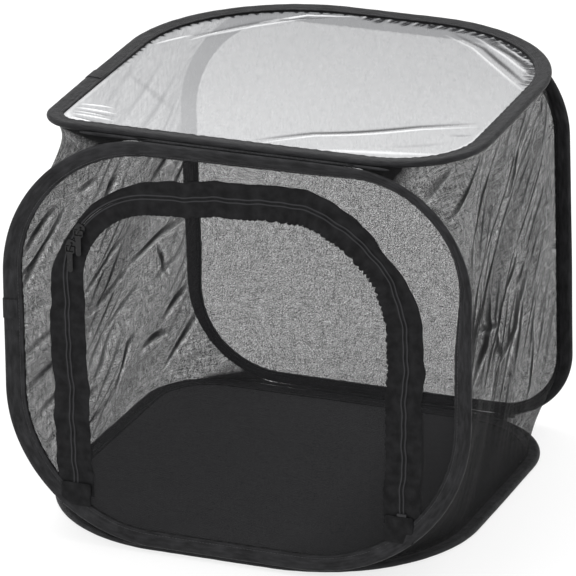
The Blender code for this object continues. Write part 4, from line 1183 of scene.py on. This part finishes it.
def side_net_reach(side, y, z):
    """How far out a side net is: drawn between the four rims, with sag and folds."""
    low_y = HALF_DEPTH + y
    high_y = HALF_DEPTH - y
    low_z = z - HINGE_LOW
    high_z = HINGE_HIGH - z
    along = np.minimum(low_y, high_y) + np.minimum(low_z, high_z)
    total = 0.0
    reach = 0.0
    rims = {}
    for panel, distance, nearer_high in (("front", low_y, high_z < low_z),
                                         ("back", high_y, high_z < low_z),
                                         ("base", low_z, high_y < low_y),
                                         ("top", high_z, high_y < low_y)):
        weight = 1.0 / np.maximum(distance, 1e-5) ** RIM_PULL
        ends = [rim_reach(panel, side, edge, along) for edge in (-1, 1)]
        rims[panel] = np.where(nearer_high, ends[1], ends[0])
        total = total + weight
        reach = reach + weight * rims[panel]
    least = np.minimum(np.where(low_y < high_y, rims["front"], rims["back"]),
                       np.where(low_z < high_z, rims["base"], rims["top"]))
    corner = np.clip(1.6 - along / SIDE_CORNER_SPAN, 0.0, 1.0)
    reach = reach / total * (1 - corner) + (least - SIDE_CORNER_TUCK) * corner
    across = low_y / (2 * HALF_DEPTH)
    rise = low_z / (HINGE_HIGH - HINGE_LOW)
    slack = np.clip(16 * across * (1 - across) * rise * (1 - rise), 0, 1) ** SLACK_SPREAD
    run = rise * FOLD_STEEPNESS + across * FOLD_LEANS[side]
    cross = across * FOLD_STEEPNESS - rise * FOLD_LEANS[side]
    drift = 1.3 * np.sin(5.2 * cross + 2.2 * run + side)
    folds = (0.55 * np.sin(21 * run + 1.3 + drift)
             + 0.45 * np.sin(39 * run + 4 * rise + drift))
    turn = 88 * run + 9 * np.sin(3.1 * cross + side) + 3 * rise
    strength = 0.5 + 0.5 * np.sin(11 * cross + 4 * run + side)
    fine = np.sin(turn) * strength
    after = np.sin(turn + 1.1) * strength
    finer = np.sin(173 * run + 13 * np.sin(4.3 * cross + 1.0)) * (0.5 + 0.5 * np.sin(
        17 * cross - 7 * run + 2.0))
    reach = reach - slack * (SIDE_NET_SAG + FOLD_DEPTH * folds - FINE_DEPTH * fine
                             - FINER_DEPTH * finer)
    tilt = 0.5 + 0.5 * np.cos(21 * run + 1.3 + drift)
    gather = 0.32 + slack * (0.26 * tilt ** 2 - 0.24 * np.clip(after, 0, 1) ** 2
                             + 1.0 * np.clip(fine, 0, 1) ** 4
                             + 0.65 * np.clip(finer, 0, 1) ** 3)
    # Gathered tight at each corner, where it is also painted dark as shade.
    gather = gather + 1.7 * np.exp(-(along / CORNER_GATHER) ** 2)
    # Painted highlight: glints beside the fine folds.
    glint = slack * 0.10 * np.clip(-fine, 0, 1) ** 3
    for width, dark, *points in PLEATS[side]:
        away, share = pleat_profile(points, y, z)
        taper = np.clip(np.sin(math.pi * np.clip(share, 0.02, 0.98)), 0, 1) ** 0.4
        half = 0.95 * width / 1000 * (0.35 + 0.65 * taper)
        band = 1 / (1 + (np.abs(away) / half) ** 8)
        reach = reach + PLEAT_RISE * taper * np.exp(-(away / (1.6 * half)) ** 2)
        # The pleat closes the holes and, where it is tight, is painted dark as shade.
        gather = np.maximum(gather, min(1.25 * dark, 1.0) * taper * band)
        edge = np.exp(-((away - 1.6 * half) / (0.45 * half)) ** 2)
        gather = gather * (1 - 0.9 * dark * taper * edge)
        # Painted highlight: glints along each pleat's edges.
        glint = np.maximum(glint, 0.30 * dark * taper * edge)
    return reach, np.clip(gather, 0, 0.99), np.clip(glint, 0, 1)


def cloth_run(grid, way):
    """Distance over the cloth from its middle line, along its rows or columns."""
    steps = np.linalg.norm(np.diff(grid, axis=way), axis=2)
    run = np.concatenate([np.zeros_like(steps.take([0], axis=way)),
                          np.cumsum(steps, axis=way)], axis=way)
    return run - run.take([grid.shape[way] // 2], axis=way)


def mark(piece, name, first, second):
    """Adds a chart that holds two values for each point, instead of a place."""
    layer = piece.data.uv_layers.new(name=name)
    loops = np.zeros(len(piece.data.loops), np.int32)
    piece.data.loops.foreach_get("vertex_index", loops)
    values = stack(first.ravel(), second.ravel())[loops]
    layer.data.foreach_set("uv", values.astype(np.float32).ravel())
    return piece


def make_side_net(side, name):
    half_y = HALF_DEPTH - SIDE_NET_INSET
    half_z = (HINGE_HIGH - HINGE_LOW) / 2 - SIDE_NET_INSET
    steps = np.linspace(-1.0, 1.0, SIDE_NET_CELLS + 1)
    v, u = np.meshgrid(steps, steps, indexing="ij")
    y = half_y * u
    z = (HINGE_HIGH + HINGE_LOW) / 2 + half_z * v
    reach, gather, glint = side_net_reach(side, y, z)
    y[:, [0, -1]] += np.array([-1, 1]) * SIDE_NET_LAP
    z[[0, -1]] += np.array([[-1], [1]]) * SIDE_NET_LAP
    grid = stack(side * reach, y, z)
    skew = 0.012 * np.sin(9 * y + 5 * z) + 0.006 * np.sin(21 * z - 13 * y)
    weave = stack(cloth_run(grid, 1) + skew, cloth_run(grid, 0) + 0.7 * skew)
    return mark(sew(name, grid, weave), "Gather", gather, glint)


def fold_with_frame(piece):
    """Each point keeps its height on the leaning frame: its top edge goes with the top
    panel, its bottom edge stays on the base, and the rest moves in proportion."""
    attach(piece, "base")
    group = piece.vertex_groups.new(name="height")
    for vertex in piece.data.vertices:
        share = (vertex.co.z - HINGE_LOW) / (HINGE_HIGH - HINGE_LOW)
        group.add([vertex.index], min(max(share, 0.0), 1.0), "REPLACE")
    hook = piece.modifiers.new("leans with the frame", "HOOK")
    hook.object = frame["bodies"]["top_panel"]
    hook.vertex_group = group.name
    hook.matrix_inverse = Matrix.Identity(4)


# Painted shade: the side nets are the same netting at half the tone of the flat ones.
loose_net = net_finish("black_netting_loose", gathered=True, glow=0.0, grain=1.5,
                       draw=0.4, tone=0.5)
for side, name in ((-1, "left"), (1, "right")):
    net = fit(make_side_net(side, name + "_side_net_loose"), loose_net, None,
              name + "_side_net")
    fold_with_frame(net)

# Top window: soft clear film, caught in the top binding like the nets. It has gone milky
# with handling, and it is drawn into pleats at the corners. Its pleats, gathers and rim
# carry painted highlights and painted shade, and its milky colour painted reflection.
FILM_CELLS = 300
GATHER_PITCH = 0.0042
GATHER_START = 0.30         # along the rim, from its left side's middle
GATHER_END = 0.60
GATHER_INSET = 0.0125       # of its start, from the rim
GATHER_LENGTH = 0.010
FILM_SAG = 0.004
FILM_SWELL = 0.0012
# Pleats on the film, with their painted light: width in millimetres, how white (painted
# highlight), how dark (painted shade), how far it rises, and then its points' x and y
FILM_PLEATS_AND_LIGHT = [
    (1.6, 0.9, 0.0, 1.2, -166, -132, -136, -128),
    (1.8, 0.9, 0.0, 1.2, -165, -141, -128, -142),
    (1.4, 0.8, 0.0, 1.0, -163, -149, -134, -151),
    (1.8, 0.9, 0.0, 1.2, -162, -156, -124, -160),
    (1.8, 1.0, 0.0, 1.5, -160, -165, -122, -179),
    (1.8, 0.9, 0.0, 1.0, -158, -173, -116, -189),
    (1.6, 0.0, 0.5, -0.8, -164, -145, -126, -147),
    (1.6, 0.0, 0.6, -0.8, -160, -160, -122, -170),
    (1.4, 0.0, 0.6, -0.8, -158, -170, -130, -182),
    (5.0, 0.0, 0.25, 1.0, -155, -43, -118, -78, -81, -116),
    (2.0, 0.6, 0.0, 1.0, -162, 42, -140, 76),
    (2.0, 0.7, 0.0, 1.2, -138, 63, -106, 113, -77, 148),
    (2.0, 0.0, 0.7, -1.0, -143, 70, -112, 116, -86, 146),
    (2.2, 0.0, 0.9, -1.0, -123, 92, -88, 138, -52, 163),
    (1.8, 0.0, 0.8, -0.8, -115, 108, -80, 146, -30, 168),
    (1.8, 0.6, 0.0, 1.0, -130, 73, -97, 116, -59, 152),
    (1.8, 0.7, 0.0, 1.0, -96, 133, -60, 161, -16, 172),
    (4.6, 0.0, 1.0, -0.6, 10, -163, 48, -126, 101, -96, 129, -80, 172, -62),
    (2.2, 0.7, 0.0, 0.6, 15, -172, 52, -135, 105, -105, 133, -89, 177, -71),
    (2.5, 0.0, 0.5, -0.6, 161, -97, 180, -91),
    (5.0, 0.0, 0.25, -0.6, 121, -139, 165, -116),
    (5.0, 0.5, 0.0, 1.0, 64, -173, 122, -158, 168, -147),
    (1.6, 0.5, 0.0, 0.6, 75, 153, 109, 127, 150, 78, 189, 28),
    (3.6, 0.0, 1.0, -0.6, 80, 160, 119, 130, 156, 86, 190, 42),
    (1.8, 0.5, 0.0, 0.6, 100, 158, 145, 114, 188, 64),
    (4.0, 0.0, 1.0, -0.6, 106, 159, 150, 120, 190, 76),
    (1.8, 0.6, 0.0, 0.6, 122, 154, 160, 116, 189, 88),
    (3.6, 0.0, 1.0, -0.6, 126, 156, 182, 99),
    (1.8, 0.5, 0.0, 0.6, 142, 144, 184, 106),
    (3.4, 0.0, 0.9, -0.6, 140, 152, 182, 112),
]


def film_finish():
    finish = Finish("clear_soft_film", "clear_film", (0.8, 0.81, 0.83), 0.2,
                    Specular_IOR_Level=0.12)
    painted_highlight, dark = finish.cloth("PaintedLight")
    run, across = finish.cloth()
    cloud = finish.noise((run, across), 9.0, 4.0)
    scuff = finish.noise((run * 6.0 + across * 2.0, across), 40.0, 3.0)
    # The film's milky colour with painted reflection in it: lighter towards the front than
    # at the back.
    front = across.step(0.15, -0.17)
    veil_and_reflection = finish.mix(front, (0.287, 0.290, 0.298), (0.425, 0.429, 0.438))
    # Painted highlight: white, and more opaque, along pleats and the front rim.
    colour = finish.mix(painted_highlight, veil_and_reflection, (0.93, 0.935, 0.945))
    # Painted shade: dark, and more opaque, along pleats, gathers and the back rim.
    finish.put("Base Color", finish.mix(dark, colour, (0.02, 0.02, 0.022)))
    milk = 0.66 + 0.10 * (cloud - 0.5) + 0.08 * (scuff - 0.5)
    finish.put("Alpha", (milk + 0.3 * painted_highlight + 0.30 * dark).math("MINIMUM", 0.98))
    finish.put("Roughness", 0.16 + 0.2 * scuff)
    finish.emboss(cloud, 0.0006, 0.5)
    return finish


def rim_gathers():
    """Short gathers that run in from the binding round the back right corner: two in three
    are painted dark as shade, and the third is painted white as a highlight.
    """
    points, inwards, _ = rim_course("top", GATHER_PITCH)
    marks = []
    for n in range(int(GATHER_START / GATHER_PITCH), int(GATHER_END / GATHER_PITCH)):
        swing = math.sin(2.1 * n) + 0.6 * math.sin(5.3 * n + 1.0)
        length = GATHER_LENGTH * (1 + 0.4 * swing)
        inward = inwards[n]
        way = np.array([inward[1], -inward[0]])
        start = points[n] + GATHER_INSET * inward + 0.001 * swing * way
        end = start + length * inward + (0.004 + 0.002 * swing) * way
        line = panel_point("top", *stack(start, end), 0.0)[:, :2] * 1000
        # Painted shade on two gathers in three, a painted highlight on the third.
        look = (3.0, 0.0, 1.0, -0.5) if n % 3 < 2 else (1.8, 0.4, 0.0, 0.6)
        marks.append((*look, *line.ravel()))
    return marks


def make_window():
    x, y, reach = patch(panel_cut("top"), FILM_CELLS)
    world_x, world_y, _ = np.moveaxis(panel_point("top", x, y, 0.0), -1, 0)
    sag = FILM_SAG * (1 - reach ** 2)
    # Painted highlight along the front part of the rim.
    painted_highlight = 0.5 * np.clip((reach - 0.915) / 0.02, 0, 1) * np.clip(-world_y / 0.1, 0, 1)
    turn = np.arctan2(world_y, world_x)
    frill = 0.010 * np.sin(97 * turn) + 0.008 * np.sin(151 * turn + 1.0)
    far = np.clip((np.sin(turn - 0.25) + 0.15) / 0.4, 0, 1)
    # Painted shade along the back of the rim, with a ragged inner edge.
    dark = far * np.clip((reach - 0.930 - frill) / 0.012, 0, 1)
    lift = swells(world_x, world_y, FILM_SWELL) * (1 - reach ** 4)
    # Each pleat paints a highlight, and its clear value paints it dark as shade.
    for width, highlight, clear, rise, *points in FILM_PLEATS_AND_LIGHT + rim_gathers():
        away, share = pleat_profile(points, world_x, world_y)
        taper = np.sin(math.pi * np.clip(share, 0.02, 0.98)) ** 0.4
        half = 0.8 * width / 1000 * (0.4 + 0.6 * taper)
        band = np.exp(-(np.abs(away) / half) ** 3) * taper
        painted_highlight = np.maximum(painted_highlight, highlight * band)
        dark = np.maximum(dark, clear * band)
        lift = lift + rise / 1000 * taper * np.exp(-(away / (2 * half)) ** 2)
    grid = panel_point("top", x, y, sag - lift)
    piece = sew("top_window_film", grid, stack(world_x, world_y))
    return mark(piece, "PaintedLight", painted_highlight, dark * (1 - painted_highlight))


window = fit(make_window(), film_finish(), "top_panel", "top_window")
panel_cut("top")

# Studio: a plain pale floor, a white surround, and large soft lights above and to the
# sides, as in a catalogue picture. The camera stands where the photograph's did.
CAMERA_PLACE = (1.43214, -3.99159, 1.88411)
CAMERA_TURNS = ((20.0075, "Z"), (68.2195, "X"), (-0.1106, "Z"))
LENS_PIXELS = 5092.68
PICTURE_PIXELS = 576
SENSOR = 36.0
STUDIO_REACH = 30.0


def make_camera():
    data = bpy.data.cameras.new("portrait")
    data.sensor_width = SENSOR
    data.lens = LENS_PIXELS / PICTURE_PIXELS * SENSOR
    data.clip_end = 50.0
    stand = Matrix.Translation(CAMERA_PLACE)
    for degrees, axis in CAMERA_TURNS:
        stand = stand @ Matrix.Rotation(math.radians(degrees), 4, axis)
    camera = bpy.data.objects.new("portrait", data)
    camera.matrix_world = stand
    bpy.context.collection.objects.link(camera)
    bpy.context.scene.camera = camera


def make_light(name, place, size, power):
    data = bpy.data.lights.new(name, "AREA")
    data.shape = "SQUARE"
    data.size = size
    data.energy = power
    light = bpy.data.objects.new(name, data)
    light.location = place
    aim = Vector(place) - Vector((0.0, 0.0, 0.2))
    light.rotation_euler = aim.to_track_quat("Z", "Y").to_euler()
    bpy.context.collection.objects.link(light)


def make_studio():
    mesh = bpy.data.meshes.new("studio_floor")
    corners = [(x * STUDIO_REACH, y * STUDIO_REACH, 0)
               for x, y in ((-1, -1), (1, -1), (1, 1), (-1, 1))]
    mesh.from_pydata(corners, [], [(0, 1, 2, 3)])
    ground = bpy.data.objects.new("studio_floor", mesh)
    bpy.context.collection.objects.link(ground)
    finish = Finish("pale_floor", "floor_cloth", (0.25, 0.25, 0.25), 0.9,
                    Emission_Strength=0.75)
    finish.put("Emission Color", (1.0, 1.0, 1.0))
    mesh.materials.append(finish.material)
    world = bpy.data.worlds.new("surround")
    world.use_nodes = True
    surround = world.node_tree.nodes["Background"]
    surround.inputs["Color"].default_value = (1.0, 1.0, 1.0, 1.0)
    surround.inputs["Strength"].default_value = 1.0
    bpy.context.scene.world = world
    bpy.context.scene.view_settings.view_transform = "Standard"


make_camera()
make_studio()
make_light("overhead", (-0.3, 0.2, 2.2), 1.6, 30.0)
make_light("left_front", (-1.8, -1.6, 1.2), 1.2, 18.0)
